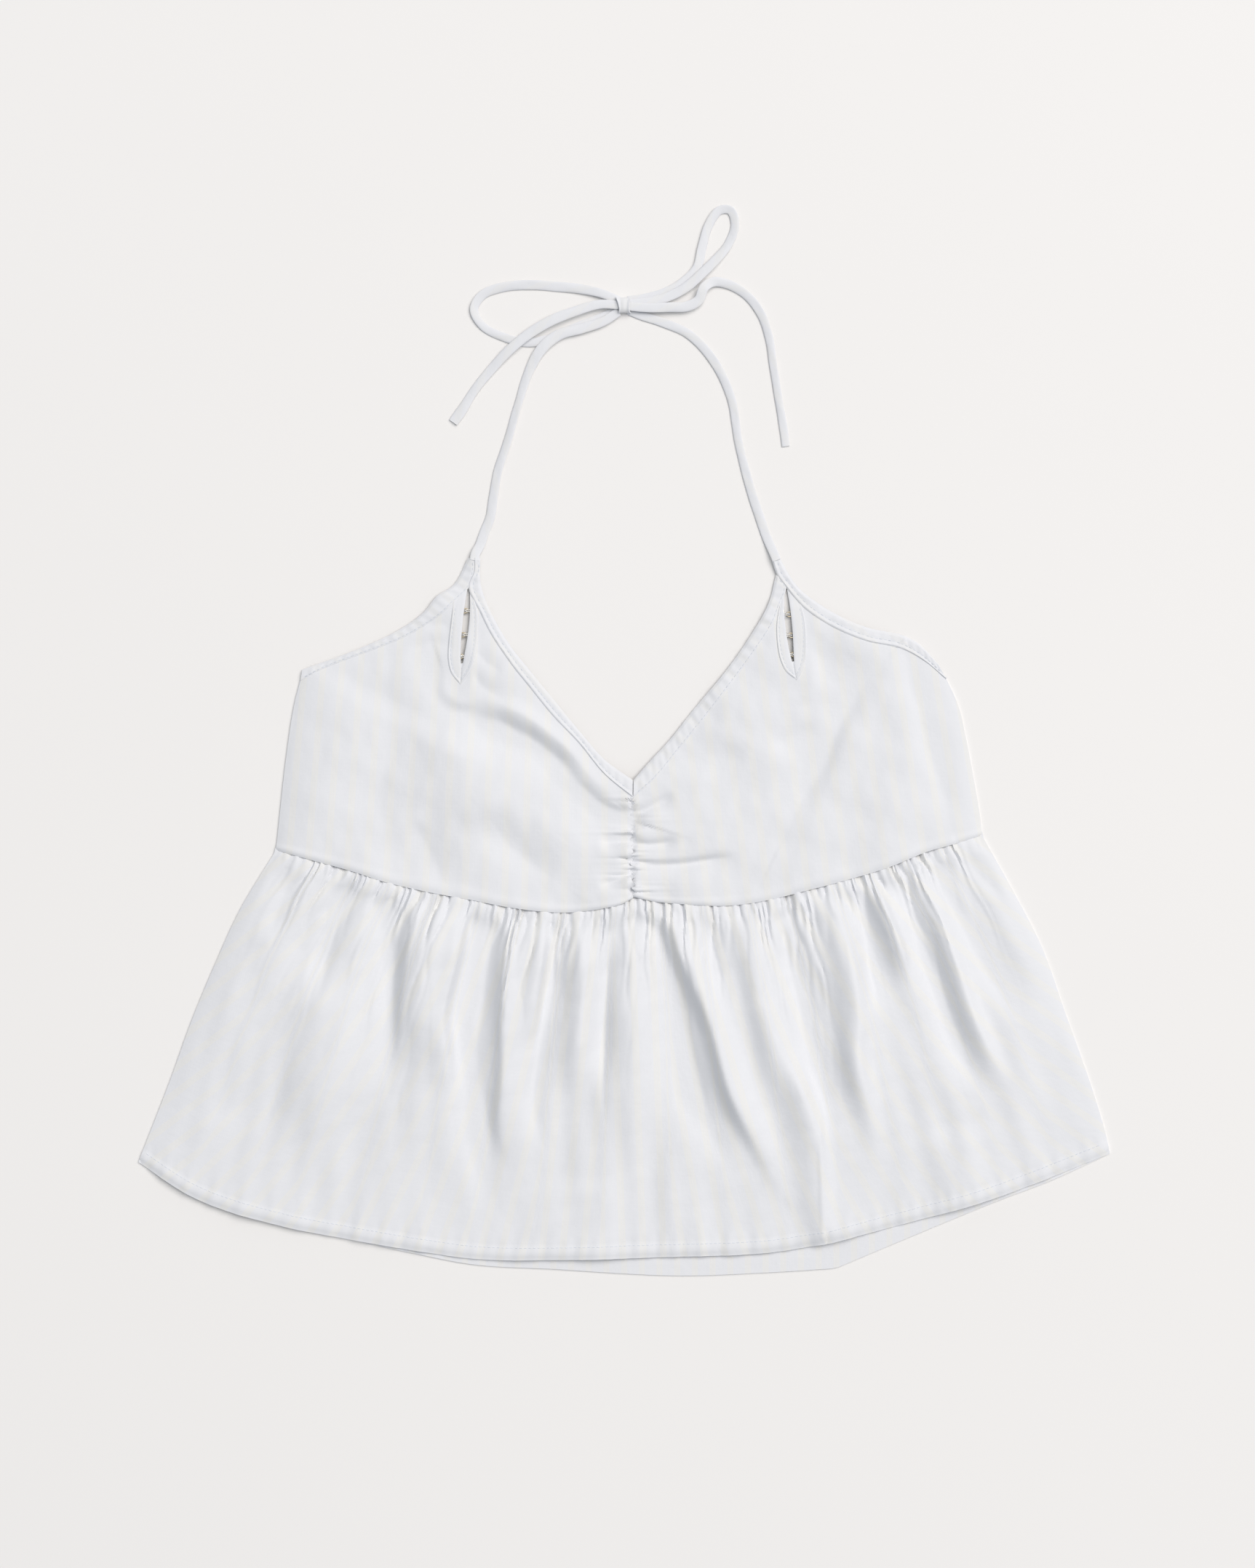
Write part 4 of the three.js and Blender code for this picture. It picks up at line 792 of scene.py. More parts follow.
def front_bodice(side):
    half = HALVES[side]
    mirrored = side == "right"
    outer, inner = bodice_plan(half, mirrored)
    towards = -1 if mirrored else 1

    def shape(s, t):
        column = np.round((1 - s if mirrored else s) * BODICE_COLUMNS)
        outside = column <= OUTER_COLUMNS
        so = np.clip(column / OUTER_COLUMNS, 0, 1)
        si = np.clip((column - OUTER_COLUMNS - 1) / INNER_COLUMNS, 0, 1)
        gap = slit_half_width(t)
        out, into = patch(outer, so, t), patch(inner, si, t)
        out[:, 0] -= towards * gap * so ** 40
        into[:, 0] += towards * gap * (1 - si) ** 40
        at = np.where(outside[:, None], out, into)
        at[:, 0] += seam_waver(at, towards)
        height = bodice_height(half, at) + top_lift(half, at)
        waist_gap = np.abs(1 - t) * 100
        height = height + 0.5 * beside(waist_gap - 2.2, 1.6) - 0.5 * beside(waist_gap, 0.6)
        return np.column_stack([at, height]), bodice_cut(side, at), np.full(len(at), SHELL)

    slit_at = (OUTER_COLUMNS + 0.5) / BODICE_COLUMNS
    slit_at = 1 - slit_at if mirrored else slit_at

    def keep(s, t):
        return not (abs(s - slit_at) < 0.4 / BODICE_COLUMNS and t < SLIT_SHARE)

    obj = cloth_grid(f"bodice_cloth_{side}", BODICE_COLUMNS, BODICE_ROWS, shape, keep)
    return finish_piece(
        obj, [f"front_bodice_{side}"], material("stripes")
    )


def face_lift(side_gap):
    """How far the cloth's face lies over the underside of its solid, less at the side seam."""
    return 0.2 + TOP_LIFT * rising(side_gap, 4)


def top_lift(half, at):
    return face_lift(nearest(half["side"], at)[0])


# Bands: doubled strips along the neck and the armholes, sewn together above each slit

def band_edges(side, kind):
    """A band's outer edge and its sewn edge, which runs on from the slit to the strap."""
    half = HALVES[side]
    if kind == "neck":
        return Line(half["neckEdge"]), Line([*half["halter"][kind][::-1], *half["neckLine"]])
    return Line(half["armholeEdge"]), Line([*half["armholeLine"], *half["halter"][kind]])


def piped(side, kind):
    """Each half has piping along one of its two bands."""
    return PIPED_BAND[side] == kind


def stitch_line(side, kind):
    """How far a band's topstitching runs from its sewn edge."""
    return STITCH_INSIDE_PIPING if piped(side, kind) else STITCH_INSIDE_EDGE


def band(side, kind, columns=190, rows=12):
    edge, sewn = band_edges(side, kind)
    half = HALVES[side]
    mirrored = side == "right"
    overlap = 1.05

    def shape(s, t):
        along = 1 - s if mirrored else s
        outer, inner = edge.at(along), sewn.at(along)
        at = outer + (inner - outer) * (t * overlap)[:, None]
        width = np.linalg.norm(inner - outer, axis=1)
        from_edge, from_line = t * overlap * width, (overlap - t * overlap) * width
        rounded = BAND_EDGE + (BAND_FACE - BAND_EDGE) * smooth(0, 1.5, from_edge)
        face = rounded - 0.55 * (1 - smooth(0, 0.8, from_line))
        walked = along * edge.length
        if piped(side, kind):
            face = face + PIPING * beside(from_line - 0.9, 0.7)
        face = face - 0.2 * beside(from_line - stitch_line(side, kind), 0.6)
        pulls = np.sin(2 * math.pi * walked / PULL_PITCH + 1.5 * np.sin(walked / 17))
        face = face + 0.13 * pulls * np.sin(math.pi * np.clip(t, 0, 1))
        near_side = beside(nearest(half["side"], at)[0], 7)
        height = bodice_height(half, at) + face * (1 - 0.4 * near_side)
        cut = np.stack([0.7 * at[:, 0] + 0.72 * at[:, 1], 0.7 * at[:, 1] - 0.72 * at[:, 0]], -1)
        return np.column_stack([at, height]), cut * MM, np.full(len(at), BAND_WALL)

    obj = cloth_grid(f"{kind}_binding_{side}", columns, rows, shape)
    return finish_piece(obj, [f"{NODE_OF_BAND[kind]}_{side}"], material("bias"))


NODE_OF_BAND = {"neck": "neck_band", "armhole": "armhole_band"}
BAND_WALL = 0.8
BAND_EDGE = 0.85
BAND_FACE = 1.7
PIPING = 0.35
PULL_PITCH = 5.3
STITCH_INSIDE_PIPING = 2.9
STITCH_INSIDE_EDGE = 1.0
PIPED_BAND = {"left": "neck", "right": "armhole"}


# Keyhole plackets: a pointed strip round each slit, with a rolled outer edge

PLACKET_COLUMNS = 11
PLACKET_ROWS = 76
PLACKET_FACE = 1.6
PLACKET_EDGE = 1.2
PLACKET_WALL = 0.45
PLACKET_OPEN = 0.975
PLACKET_POINT = 0.82
THIN_CUT = 0.4


def placket_lines(side, t):
    """Rows of places on the placket's two edges and along the slit between them."""
    half = HALVES[side]
    top_row = 0.1
    edges = []
    for stretches in (half["placketOut"], half["placketIn"]):
        edge = Line(*stretches)
        corner = Line(stretches[0]).length / edge.length
        edges.append(edge.at(np.interp(t, (0, top_row, 1), (0, corner, 1))))
    slit = Line(keyhole_line(half)).at(np.interp(t, (0, top_row, 1), (0, 0.08, 0.99)))
    return edges[0], edges[1], slit


def placket_gap(t):
    """Half the width of the opening, from its top to the thin cut at its point."""
    opening = SLIT_WIDTH * np.sin(math.pi * np.clip(0.02 + 1.15 * t, 0, 1)) ** 0.6
    return 0.5 * np.maximum(np.where(t < PLACKET_POINT, opening, 0), THIN_CUT)


def placket(side):
    half = HALVES[side]
    mirrored = side == "right"
    columns = 2 * PLACKET_COLUMNS + 1

    def shape(s, t):
        column = np.round((1 - s if mirrored else s) * columns)
        out, into, mid = placket_lines(side, t)
        gap = placket_gap(t) * (-1 if mirrored else 1)
        lip_out, lip_in = mid.copy(), mid.copy()
        lip_out[:, 0] -= gap
        lip_in[:, 0] += gap
        outside = column <= PLACKET_COLUMNS
        share = np.where(outside, column / PLACKET_COLUMNS, (columns - column) / PLACKET_COLUMNS)
        edge, lip = (np.where(outside[:, None], a, b) for a, b in ((out, into), (lip_out, lip_in)))
        at = edge + (lip - edge) * share[:, None]
        width = np.linalg.norm(lip - edge, axis=1)
        from_edge, from_lip = share * width, (1 - share) * width
        tall = smooth(0.04, 0.24, t)
        face = PLACKET_EDGE + (PLACKET_FACE - PLACKET_EDGE) * tall * smooth(0, 0.7, from_edge)
        rolled = 0.22 * tall * beside(from_edge - 0.7, 0.5)
        face = face + rolled - 0.16 * beside(from_edge - 2.0, 0.5) - 0.3 * beside(from_lip, 0.5)
        height = bodice_height(half, at) + face
        cut = np.stack([at[:, 0] + 0.1 * at[:, 1], at[:, 1]], -1) * MM
        return np.column_stack([at, height]), cut, np.full(len(at), PLACKET_WALL)

    middle = (PLACKET_COLUMNS + 0.5) / columns

    def keep(s, t):
        return not (abs(s - middle) < 0.4 / columns and t < PLACKET_OPEN)

    obj = cloth_grid(f"placket_cloth_{side}", columns, PLACKET_ROWS, shape, keep)
    return finish_piece(obj, [f"keyhole_placket_{side}"], material("bias"))


# Front peplum

PEPLUM_COLUMNS = 500
PEPLUM_ROWS = 92
ROW_SHARES = (0, 0.13, 0.40, 0.86, 1)
ROW_DOWNS = (0, 10, 55, 182, PEPLUM_LENGTH)
TUCKED_UP = 2.4
TUCK_DEPTH = 0.8
HEM_TURN = 1.3
HEM_PULLS = 71
FAN_DEGREES_A_MM = 0.205
FAN_MIDDLE_X = -5
GORE_EDGES = (0, 0.06, 0.115, 0.165, 0.225, 0.29, 0.345, 0.41, 0.475, 0.545, 0.60, 0.665, 0.72,
              0.785, 0.835, 0.885, 0.94, 1)
PEPLUM_EDGES = {
    "top": Line(WAIST["left"], WAIST["right"]), "bottom": Line(*FRONT_HEM),
    "left": Line(PEPLUM_SIDES["left"]), "right": Line(PEPLUM_SIDES["right"]),
}


def gore_lines():
    """Each gore's middle on the hem, the direction across its stripes, and how many precede it."""
    edges = np.array(GORE_EDGES)
    middles = (edges[1:] + edges[:-1]) / 2
    foot = PEPLUM_EDGES["bottom"].at(middles)
    lean = np.radians(FAN_DEGREES_A_MM * (foot[:, 0] - FAN_MIDDLE_X))
    across = np.stack([np.cos(lean), np.sin(lean)], -1)
    steps = np.diff(foot, axis=0)
    between = (steps * (across[1:] + across[:-1]) / 2).sum(1)
    walked = np.concatenate([[0.0], np.cumsum(between)])
    return foot, across, walked


def peplum_cut(s, down):
    """Between two valleys the stripes run straight, and what fans out is tucked in the valleys."""
    edges = np.array(GORE_EDGES)
    at = patch(PEPLUM_EDGES, s, down / PEPLUM_LENGTH)
    foot, across, walked = gore_lines()
    places = [((at - foot[k]) * across[k]).sum(1) + walked[k] for k in range(len(foot))]
    stripes = places[0]
    for k, edge in enumerate(edges[1:-1]):
        share = smooth(edge - 0.006, edge + 0.006, s)
        stripes = stripes * (1 - share) + places[k + 1] * share
    return np.stack([stripes, -down], -1) * MM


def peplum_place(s, down):
    """Places on the peplum's face."""
    at = patch(PEPLUM_EDGES, s, down / PEPLUM_LENGTH)
    side_gap = np.minimum(s, 1 - s) * PEPLUM_ACROSS
    to_hem = PEPLUM_LENGTH - down
    hem = smooth(0, 0.8, HEM_DEPTH - to_hem) * HEM_EXTRA
    groove = 0.3 * beside(to_hem - HEM_STITCH, 0.8)
    wave = np.sin(s * 2 * math.pi * HEM_PULLS + 2 * np.sin(s * 23))
    pulls = 0.16 * wave * (1 - smooth(7, 16, to_hem))
    under = beside(down, 1.4)
    at[:, 1] += TUCKED_UP * under
    turned_down = HEM_TURN * beside(to_hem, 2.2)
    height = peplum_height(s, down, at) + face_lift(side_gap) + hem - groove + pulls - turned_down
    tucked = np.maximum(height - TUCK_DEPTH * under, np.minimum(height, BACK_CLOTH + 0.6))
    return np.column_stack([at, tucked])


def front_peplum():
    def shape(s, t):
        down = np.interp(t, ROW_SHARES, ROW_DOWNS)
        wall = np.where(down > PEPLUM_LENGTH - HEM_DEPTH, SHELL + HEM_EXTRA, SHELL)
        return peplum_place(s, down), peplum_cut(s, down), wall

    obj = cloth_grid("peplum_cloth_front", PEPLUM_COLUMNS, PEPLUM_ROWS, shape)
    return finish_piece(obj, ["front_peplum"], material("stripes"))


# Back panels lie flat under the front

BACK_SEAM_X = -38.5
WAVES_ROOM = 0.06
UNDERSIDE = 0.03


def back_panel(name, node, edges, columns, rows, hem):
    def shape(s, t):
        at = patch(edges, s, t)
        height = BACK_CLOTH - WAVES_ROOM + 0.05 * soft_waves(at, 30, 11)
        if hem:
            below = (1 - t) * PEPLUM_LENGTH
            height = height + 0.35 * (1 - smooth(HEM_DEPTH - 0.5, HEM_DEPTH, below))
        cut = np.stack([at[:, 0] * 1.15, at[:, 1]], -1) * MM
        return np.column_stack([at, height]), cut, height - UNDERSIDE

    obj = cloth_grid(name, columns, rows, shape)
    return finish_piece(obj, [node], material("stripes"))


def waist_between(low, high):
    """The waist line from one x to another."""
    waist = Line(WAIST["left"], WAIST["right"]).places
    inside = waist[(waist[:, 0] > low + 0.3) & (waist[:, 0] < high - 0.3)]
    ends = [[x, np.interp(x, waist[:, 0], waist[:, 1])] for x in (low, high)]
    return np.concatenate([ends[:1], inside[::6], ends[1:]])


def back_panels():
    left_x, right_x = WAIST["left"][0][0], WAIST["right"][-1][0]
    seam_top = (BACK_SEAM_X, float(waist_between(left_x, BACK_SEAM_X)[-1][1]))
    seam = Line([seam_top, BACK_HEM["left"][-1]])
    right_side = [BACK_TOP[-1], *HALVES["right"]["side"][1:]]
    bodice = {
        "top": Line(BACK_TOP), "bottom": Line(waist_between(left_x, right_x)),
        "left": Line(HALVES["left"]["side"]), "right": Line(right_side),
    }
    left = {
        "top": Line(waist_between(left_x, BACK_SEAM_X)), "bottom": Line(BACK_HEM["left"]),
        "left": Line(PEPLUM_SIDES["left"]), "right": seam,
    }
    right = {
        "top": Line(waist_between(BACK_SEAM_X, right_x)), "bottom": Line(*BACK_HEM["right"]),
        "left": seam, "right": Line(PEPLUM_SIDES["right"]),
    }
    return [
        back_panel("back_cloth", "back_bodice", bodice, 90, 30, False),
        back_panel("peplum_cloth_back_left", "back_peplum_left", left, 60, 80, True),
        back_panel("peplum_cloth_back_right", "back_peplum_right", right, 90, 80, True),
    ]


# Tapes: flat mesh tubes along the routes, banked where they stand on edge

TAPE_RING = 16
TAPE_STEP = 0.9
EASED_OVER = 15


def tape_section():
    """A flat ring with round edges, one unit wide."""
    angle = np.arange(TAPE_RING) * 2 * math.pi / TAPE_RING
    return flattened(np.cos(angle), 0.8) / 2, np.sin(angle) * TAPE_THICKNESS / 2


def tape_centres(name):
    """Ring centres, how far each ring is banked, its width and the walked length."""
    tape = TAPES[name]
    route = Line([(x, y, TAPE_FLOOR + TAPE_THICKNESS / 2 + level * TAPE_LEVEL)
                  for x, y, level in tape["route"]])
    share = np.linspace(0, 1, int(route.length / TAPE_STEP))
    weights = np.hanning(EASED_OVER) / np.hanning(EASED_OVER).sum()

    def eased(table):
        value = np.interp(share, *np.array(table, float).T)
        return np.convolve(np.pad(value, EASED_OVER // 2, mode="edge"), weights, mode="valid")

    turn, width = np.radians(eased(tape["banks"])), eased(tape["widths"])
    return route.at(share), turn, width, share * route.length


def tape(name):
    centres, turn, width, walked = tape_centres(name)
    unit, thick = tape_section()
    across = unit[None, :] * width[:, None]
    half_height = np.abs(np.sin(turn)) * width / 2 + np.cos(turn) * TAPE_THICKNESS / 2
    flat_height = TAPE_THICKNESS / 2
    centres[:, 2] += np.maximum(half_height - flat_height, 0) * 0.96
    along = np.gradient(centres, axis=0)
    along /= np.linalg.norm(along, axis=1)[:, None]
    sideways = np.cross(along, (0, 0, 1))
    sideways /= np.linalg.norm(sideways, axis=1)[:, None]
    upwards = np.cross(sideways, along)
    wide = sideways * np.cos(turn)[:, None] + upwards * np.sin(turn)[:, None]
    tall = upwards * np.cos(turn)[:, None] - sideways * np.sin(turn)[:, None]
    cup = 0.16 * np.sin(walked / 6.1) + 0.12 * np.sin(walked / 2.7 + 1)
    bow = cup[:, None] * (4 * unit**2 - 0.5)[None, :]
    rings = (centres[:, None, :] + across[:, :, None] * wide[:, None, :]
             + (thick[None, :] + bow)[:, :, None] * tall[:, None, :])
    rings[:, :, 2] = np.maximum(rings[:, :, 2], UNDERSIDE)
    obj = tube(f"tape_{name}", rings)
    cut = np.stack([np.repeat(walked, TAPE_RING) * 0.5 + across.ravel(),
                    np.repeat(walked, TAPE_RING)], -1) * MM
    lay_cut(obj.data, cut)
    finish_piece(obj, [name], material("tape"))
    return obj, at_row(centres)


def tube(name, rings):
    """A closed tube through rings of points, with a cap at each end."""
    count, ring = rings.shape[:2]
    faces = []
    for k in range(count - 1):
        for j in range(ring):
            a, b = k * ring + j, k * ring + (j + 1) % ring
            faces.append((a, b, b + ring, a + ring))
    faces.append(tuple(range(ring - 1, -1, -1)))
    faces.append(tuple(range((count - 1) * ring, count * ring)))
    obj = mesh_object(name, rings.reshape(-1, 3), faces)
    with edited(obj):
        bpy.ops.mesh.normals_make_consistent(inside=False)
    return obj


# Bow knot: a turn of tape round the others

KNOT_AT = (-0.4, 344.6, 3.25)
KNOT_REACH = (3.4, 4.0, 2.9)
KNOT_LEAN = 0.12
KNOT_FLATNESS = 0.75


def bow_knot():
    def shape(s, t):
        angle = 2 * math.pi * s
        across = (t - 0.5) * 2
        waist = 1 - 0.1 * (1 - across**2)
        off_y = KNOT_REACH[1] * waist * flattened(np.cos(angle), KNOT_FLATNESS)
        half_wide = KNOT_REACH[0] + 0.5 * np.sin(angle * 2 + 0.6)
        x = KNOT_AT[0] + across * half_wide - KNOT_LEAN * off_y
        y = KNOT_AT[1] + off_y
        z = KNOT_AT[2] + KNOT_REACH[2] * waist * flattened(np.sin(angle), KNOT_FLATNESS)
        crease = 0.18 * np.sin(across * 5 + angle)
        cut = np.stack([x, angle * 4], -1) * MM
        return np.column_stack([x, y, z + crease]), cut, np.full(len(s), 0.7)

    obj = cloth_grid("knot_tape", 64, 16, shape)
    with edited(obj):
        bpy.ops.mesh.remove_doubles(threshold=0.00005)
        bpy.ops.mesh.normals_make_consistent(inside=False)
    return finish_piece(obj, ["bow_knot"], material("tape"))


# Hooks and eyes: bent wires in each slit

def slit_middle(half, y):
    places = Line(half["slitLine"]).places
    return float(np.interp(y, places[::-1, 1], places[::-1, 0]))


SEWN_RING = 0.75
EYE_BOW = 1.2
WIRE_AWAY = 3.6
HOOK_LEVEL = 1.5
EYE_LEVEL = 0.7


def wire_path(kind):
    """The wire's line from its root under the lip, in millimetres, before it is turned."""
    angles = np.linspace(0, 2 * math.pi, 13)[3:]
    half = [(SEWN_RING * (1 - math.cos(a)), 1.35 + SEWN_RING * math.sin(a), 0) for a in angles]
    if kind == "eye":
        end = [(3.0 + EYE_BOW * math.cos(a), EYE_BOW * math.sin(a), 0)
               for a in np.linspace(math.pi / 2, -math.pi / 2, 9)]
        half = [*half, (1.4, 1.25, 0)]
    else:
        end = [(4.1, 0.42, 0.05), (4.45, 0, 0.3), (4.1, -0.42, 0.05)]
        half = [*half, (1.5, 0.6, 0), (2.8, 0.45, 0)]
    return [*half, *end, *[(x, -y, z) for x, y, z in half[::-1]]]


def bent_wire(name, kind, node, at, turn, finish):
    curve = bpy.data.curves.new(name, "CURVE")
    curve.dimensions = "3D"
    curve.bevel_depth = WIRE / 2 * MM
    curve.bevel_resolution = 4
    curve.use_fill_caps = True
    path = through(wire_path(kind), 4)
    spline = curve.splines.new("POLY")
    spline.points.add(len(path) - 1)
    for point, (x, y, z) in zip(spline.points, path):
        spun = (x * math.cos(turn) - y * math.sin(turn), x * math.sin(turn) + y * math.cos(turn))
        place = at_row([(at[0] + spun[0], at[1] + spun[1], at[2] + z)])[0]
        point.co = (*place, 1)
    obj = linked(name, curve)
    bpy.ops.object.convert(target="MESH")
    return finish_piece(obj, [node], material(finish))


def hooks_and_eyes(side):
    half = HALVES[side]
    inward = 1 if side == "left" else -1
    hook_turn, eye_turn = (math.pi, 0) if inward > 0 else (0, math.pi)
    for nth, y in enumerate(half["hooks"], 1):
        x = slit_middle(half, y)
        under = float(bodice_height(half, np.array([[x, y]]), fine=False)[0]) - SEAM
        hook_at = (x + inward * WIRE_AWAY, y, under + HOOK_LEVEL)
        eye_at = (x - inward * WIRE_AWAY, y, under + EYE_LEVEL)
        for kind, at, turn, finish in (("hook", hook_at, hook_turn, "steel"),
                                       ("eye", eye_at, eye_turn, "brass")):
            node = f"{kind}_{side}_{nth}"
            bent_wire(f"wire_{node}", kind, node, at, turn, finish)


# Stitches: one small ridge of thread, copied along each row

STITCH_PITCH = 2.6
STITCH_LENGTH = 1.9
STITCH_WIDE = 0.34
STITCHES_OVER_BAND = 1.62
HEM_STITCH = 6.8


def thread_shape():
    """The corners and faces of one stitch, from a small sphere drawn out along X."""
    bpy.ops.object.select_all(action="DESELECT")
    bpy.ops.mesh.primitive_uv_sphere_add(segments=6, ring_count=5, radius=0.5)
    obj = added("one_stitch")
    with edited(obj):
        bpy.ops.transform.rotate(value=math.pi / 2, orient_axis="Y", center_override=(0, 0, 0))
        bpy.ops.transform.resize(value=(STITCH_LENGTH, STITCH_WIDE, STITCH_WIDE * 0.8),
                                 center_override=(0, 0, 0))
    corners = np.array([v.co for v in obj.data.vertices])
    faces = [tuple(face.vertices) for face in obj.data.polygons]
    bpy.data.objects.remove(obj)
    return corners, faces


def stitch_rows(name, rows):
    """One joined mesh of stitches along rows of places on the cloth's face."""
    corners, faces = thread_shape()
    places, made = [], []
    for row in rows:
        line = Line(row[:: max(len(row) // 400, 1)])
        count = int(line.length / STITCH_PITCH)
        middle = (np.arange(count) + 0.5) * STITCH_PITCH / line.length
        half = 0.5 * STITCH_LENGTH / line.length
        for start, at, stop in zip(line.at(middle - half), line.at(middle), line.at(middle + half)):
            along = (stop - start) / np.linalg.norm(stop - start)
            across = np.cross((0, 0, 1), along)
            across /= np.linalg.norm(across)
            up = np.cross(along, across)
            first = len(places) * len(corners)
            places.append(at + corners @ np.stack([along, across, up]))
            made.extend(tuple(first + k for k in face) for face in faces)
    obj = mesh_object(name, np.concatenate(places), made)
    bpy.ops.object.shade_smooth()
    obj.data.materials.append(material("thread"))
    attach(obj, "root")
    return obj


def band_stitches(side, kind):
    half = HALVES[side]
    edge, sewn = band_edges(side, kind)
    along = np.linspace(0.02, 0.985, 300)
    outer, inner = edge.at(along), sewn.at(along)
    width = np.linalg.norm(inner - outer, axis=1)
    inward = (stitch_line(side, kind) - 0.05 * width) / width
    at = inner + (outer - inner) * inward[:, None]
    return np.column_stack([at, bodice_height(half, at) + STITCHES_OVER_BAND])


def placket_stitches(side):
    half = HALVES[side]
    rows = []
    out, into, mid = placket_lines(side, np.linspace(0.16, 0.97, 160))
    for at in (out, into):
        inward = (mid - at) / np.linalg.norm(mid - at, axis=1)[:, None]
        at = at + inward * np.minimum(2.0, 0.75 * np.linalg.norm(mid - at, axis=1))[:, None]
        rows.append(np.column_stack([at, bodice_height(half, at) + PLACKET_FACE - 0.08]))
    return rows


def hem_stitches():
    s = np.linspace(0.004, 0.996, 900)
    row = peplum_place(s, np.full(len(s), PEPLUM_LENGTH - HEM_STITCH))
    row[:, 2] += 0.12
    return row


# Finishes

class Socket:
    """A shader value. Sums and products of such values add their own Math nodes."""

    def __init__(self, finish, socket):
        self.finish = finish
        self.socket = socket

    def __add__(self, other):
        return self.finish.math("ADD", self, other)

    def __sub__(self, other):
        return self.finish.math("SUBTRACT", self, other)

    def __mul__(self, other):
        return self.finish.math("MULTIPLY", self, other)

    def __truediv__(self, other):
        return self.finish.math("DIVIDE", self, other)

    def __rsub__(self, other):
        return self.finish.math("SUBTRACT", other, self)

    __radd__ = __add__
    __rmul__ = __mul__


class Finish:
    """A material and the one way in which its nodes are added."""

    def __init__(self, name):
        self.material = bpy.data.materials.new(name)
        self.material.use_nodes = True
        self.tree = self.material.node_tree
        self.tree.nodes.clear()

    def node(self, kind, settings=None, values=None, out=0):
        node = self.tree.nodes.new(kind)
        for key, value in (settings or {}).items():
            setattr(node, key, value)
        for key, value in (values or {}).items():
            if isinstance(value, Socket):
                self.tree.links.new(value.socket, node.inputs[key])
            else:
                node.inputs[key].default_value = value
        return Socket(self, node.outputs[out] if node.outputs else None)

    def math(self, operation, *values):
        return self.node("ShaderNodeMath", {"operation": operation}, dict(enumerate(values)))

    def noise(self, place, scale, detail=2.0):
        return self.node("ShaderNodeTexNoise", {"noise_dimensions": "3D"},
                         {"Vector": place, "Scale": scale, "Detail": detail})

    def mix(self, share, first, second):
        return self.node("ShaderNodeMix", {"data_type": "RGBA"},
                         {0: share, 6: first, 7: second}, out=2)

    def soft_step(self, value, low, high):
        return self.node("ShaderNodeMapRange", {"interpolation_type": "SMOOTHSTEP"},
                         {"Value": value, "From Min": low, "From Max": high})

    def stretched(self, place, scale):
        return self.node("ShaderNodeVectorMath", {"operation": "MULTIPLY"},
                         {0: place, 1: scale})

    def surface(self, colour, roughness, height=None, depth=0.0, **sockets):
        values = {"Base Color": colour, "Roughness": roughness}
        for key, value in sockets.items():
            values[key.replace("_", " ")] = value
        if height is not None:
            values["Normal"] = self.node("ShaderNodeBump", {}, {
                "Strength": 1.0, "Distance": depth, "Height": height})
        shader = self.node("ShaderNodeBsdfPrincipled", {}, values)
        self.node("ShaderNodeOutputMaterial", {}, {"Surface": shader})
        return self.material


def colours():
    return bpy.context.scene.halter_colours


def sizes():
    return bpy.context.scene.halter_sizes


def four(colour, shade=1.0):
    return (colour[0] * shade, colour[1] * shade, colour[2] * shade, 1.0)


def weave(finish, place):
    """Plain weave with slubs: the height of the threads."""
    thread = sizes().thread
    parts = finish.node("ShaderNodeSeparateXYZ", {}, {"Vector": place})
    down = Socket(finish, parts.socket.node.outputs[1])
    warp = finish.math("SINE", parts * (2 * math.pi / thread))
    weft = finish.math("SINE", down * (2 * math.pi / thread))
    slub_down = finish.noise(finish.stretched(place, (1, 0.06, 1)), 900, 1.0)
    slub_across = finish.noise(finish.stretched(place, (0.06, 1, 1)), 900, 1.0)
    return warp * weft * 0.25 + 0.5 + slub_down * 0.8 + slub_across * 0.8


def cotton(name, stripes):
    """Pale blue cotton with cream pin stripes, soft slubs and small wrinkles."""
    finish = Finish(name)
    place = finish.node("ShaderNodeUVMap", {"uv_map": "UVMap"})
    parts = finish.node("ShaderNodeSeparateXYZ", {}, {"Vector": place})
    pitch = sizes().stripe_pitch
    off_line = finish.math("FRACT", parts / pitch + 0.5) - 0.5
    away = finish.math("ABSOLUTE", off_line) * pitch
    band_half = sizes().stripe_width / 2
    band = 1 - finish.soft_step(away, band_half - 0.0003, band_half + 0.0003)
    pins = finish.math("COSINE", away * (2 * math.pi / (sizes().stripe_width / 3)))
    cream = band * (pins * 0.2 + 0.8) * stripes
    dye = finish.noise(place, 45, 3.0)
    ground = finish.mix(dye, four(colours().ground), four(colours().ground_deep))
    thread_tone = finish.noise(finish.stretched(place, (1, 0.03, 1)), 700, 2.0)
    toned = finish.mix(thread_tone * 0.5, ground, four(colours().ground_light))
    colour = finish.mix(cream, toned, four(colours().cream))
    height = weave(finish, place) * 0.16 + finish.noise(place, 160, 2.0) * 1.0
    return finish.surface(colour, 0.86, height, 0.00022, Sheen_Weight=0.15, Sheen_Roughness=0.5)


def thread_finish(name):
    finish = Finish(name)
    place = finish.node("ShaderNodeTexCoord", {}, {}, out=3)
    tone = finish.noise(place, 900, 2.0)
    colour = finish.mix(tone, four(colours().thread, 1.0), four(colours().thread, 0.93))
    return finish.surface(colour, 0.7, tone, 0.0001)


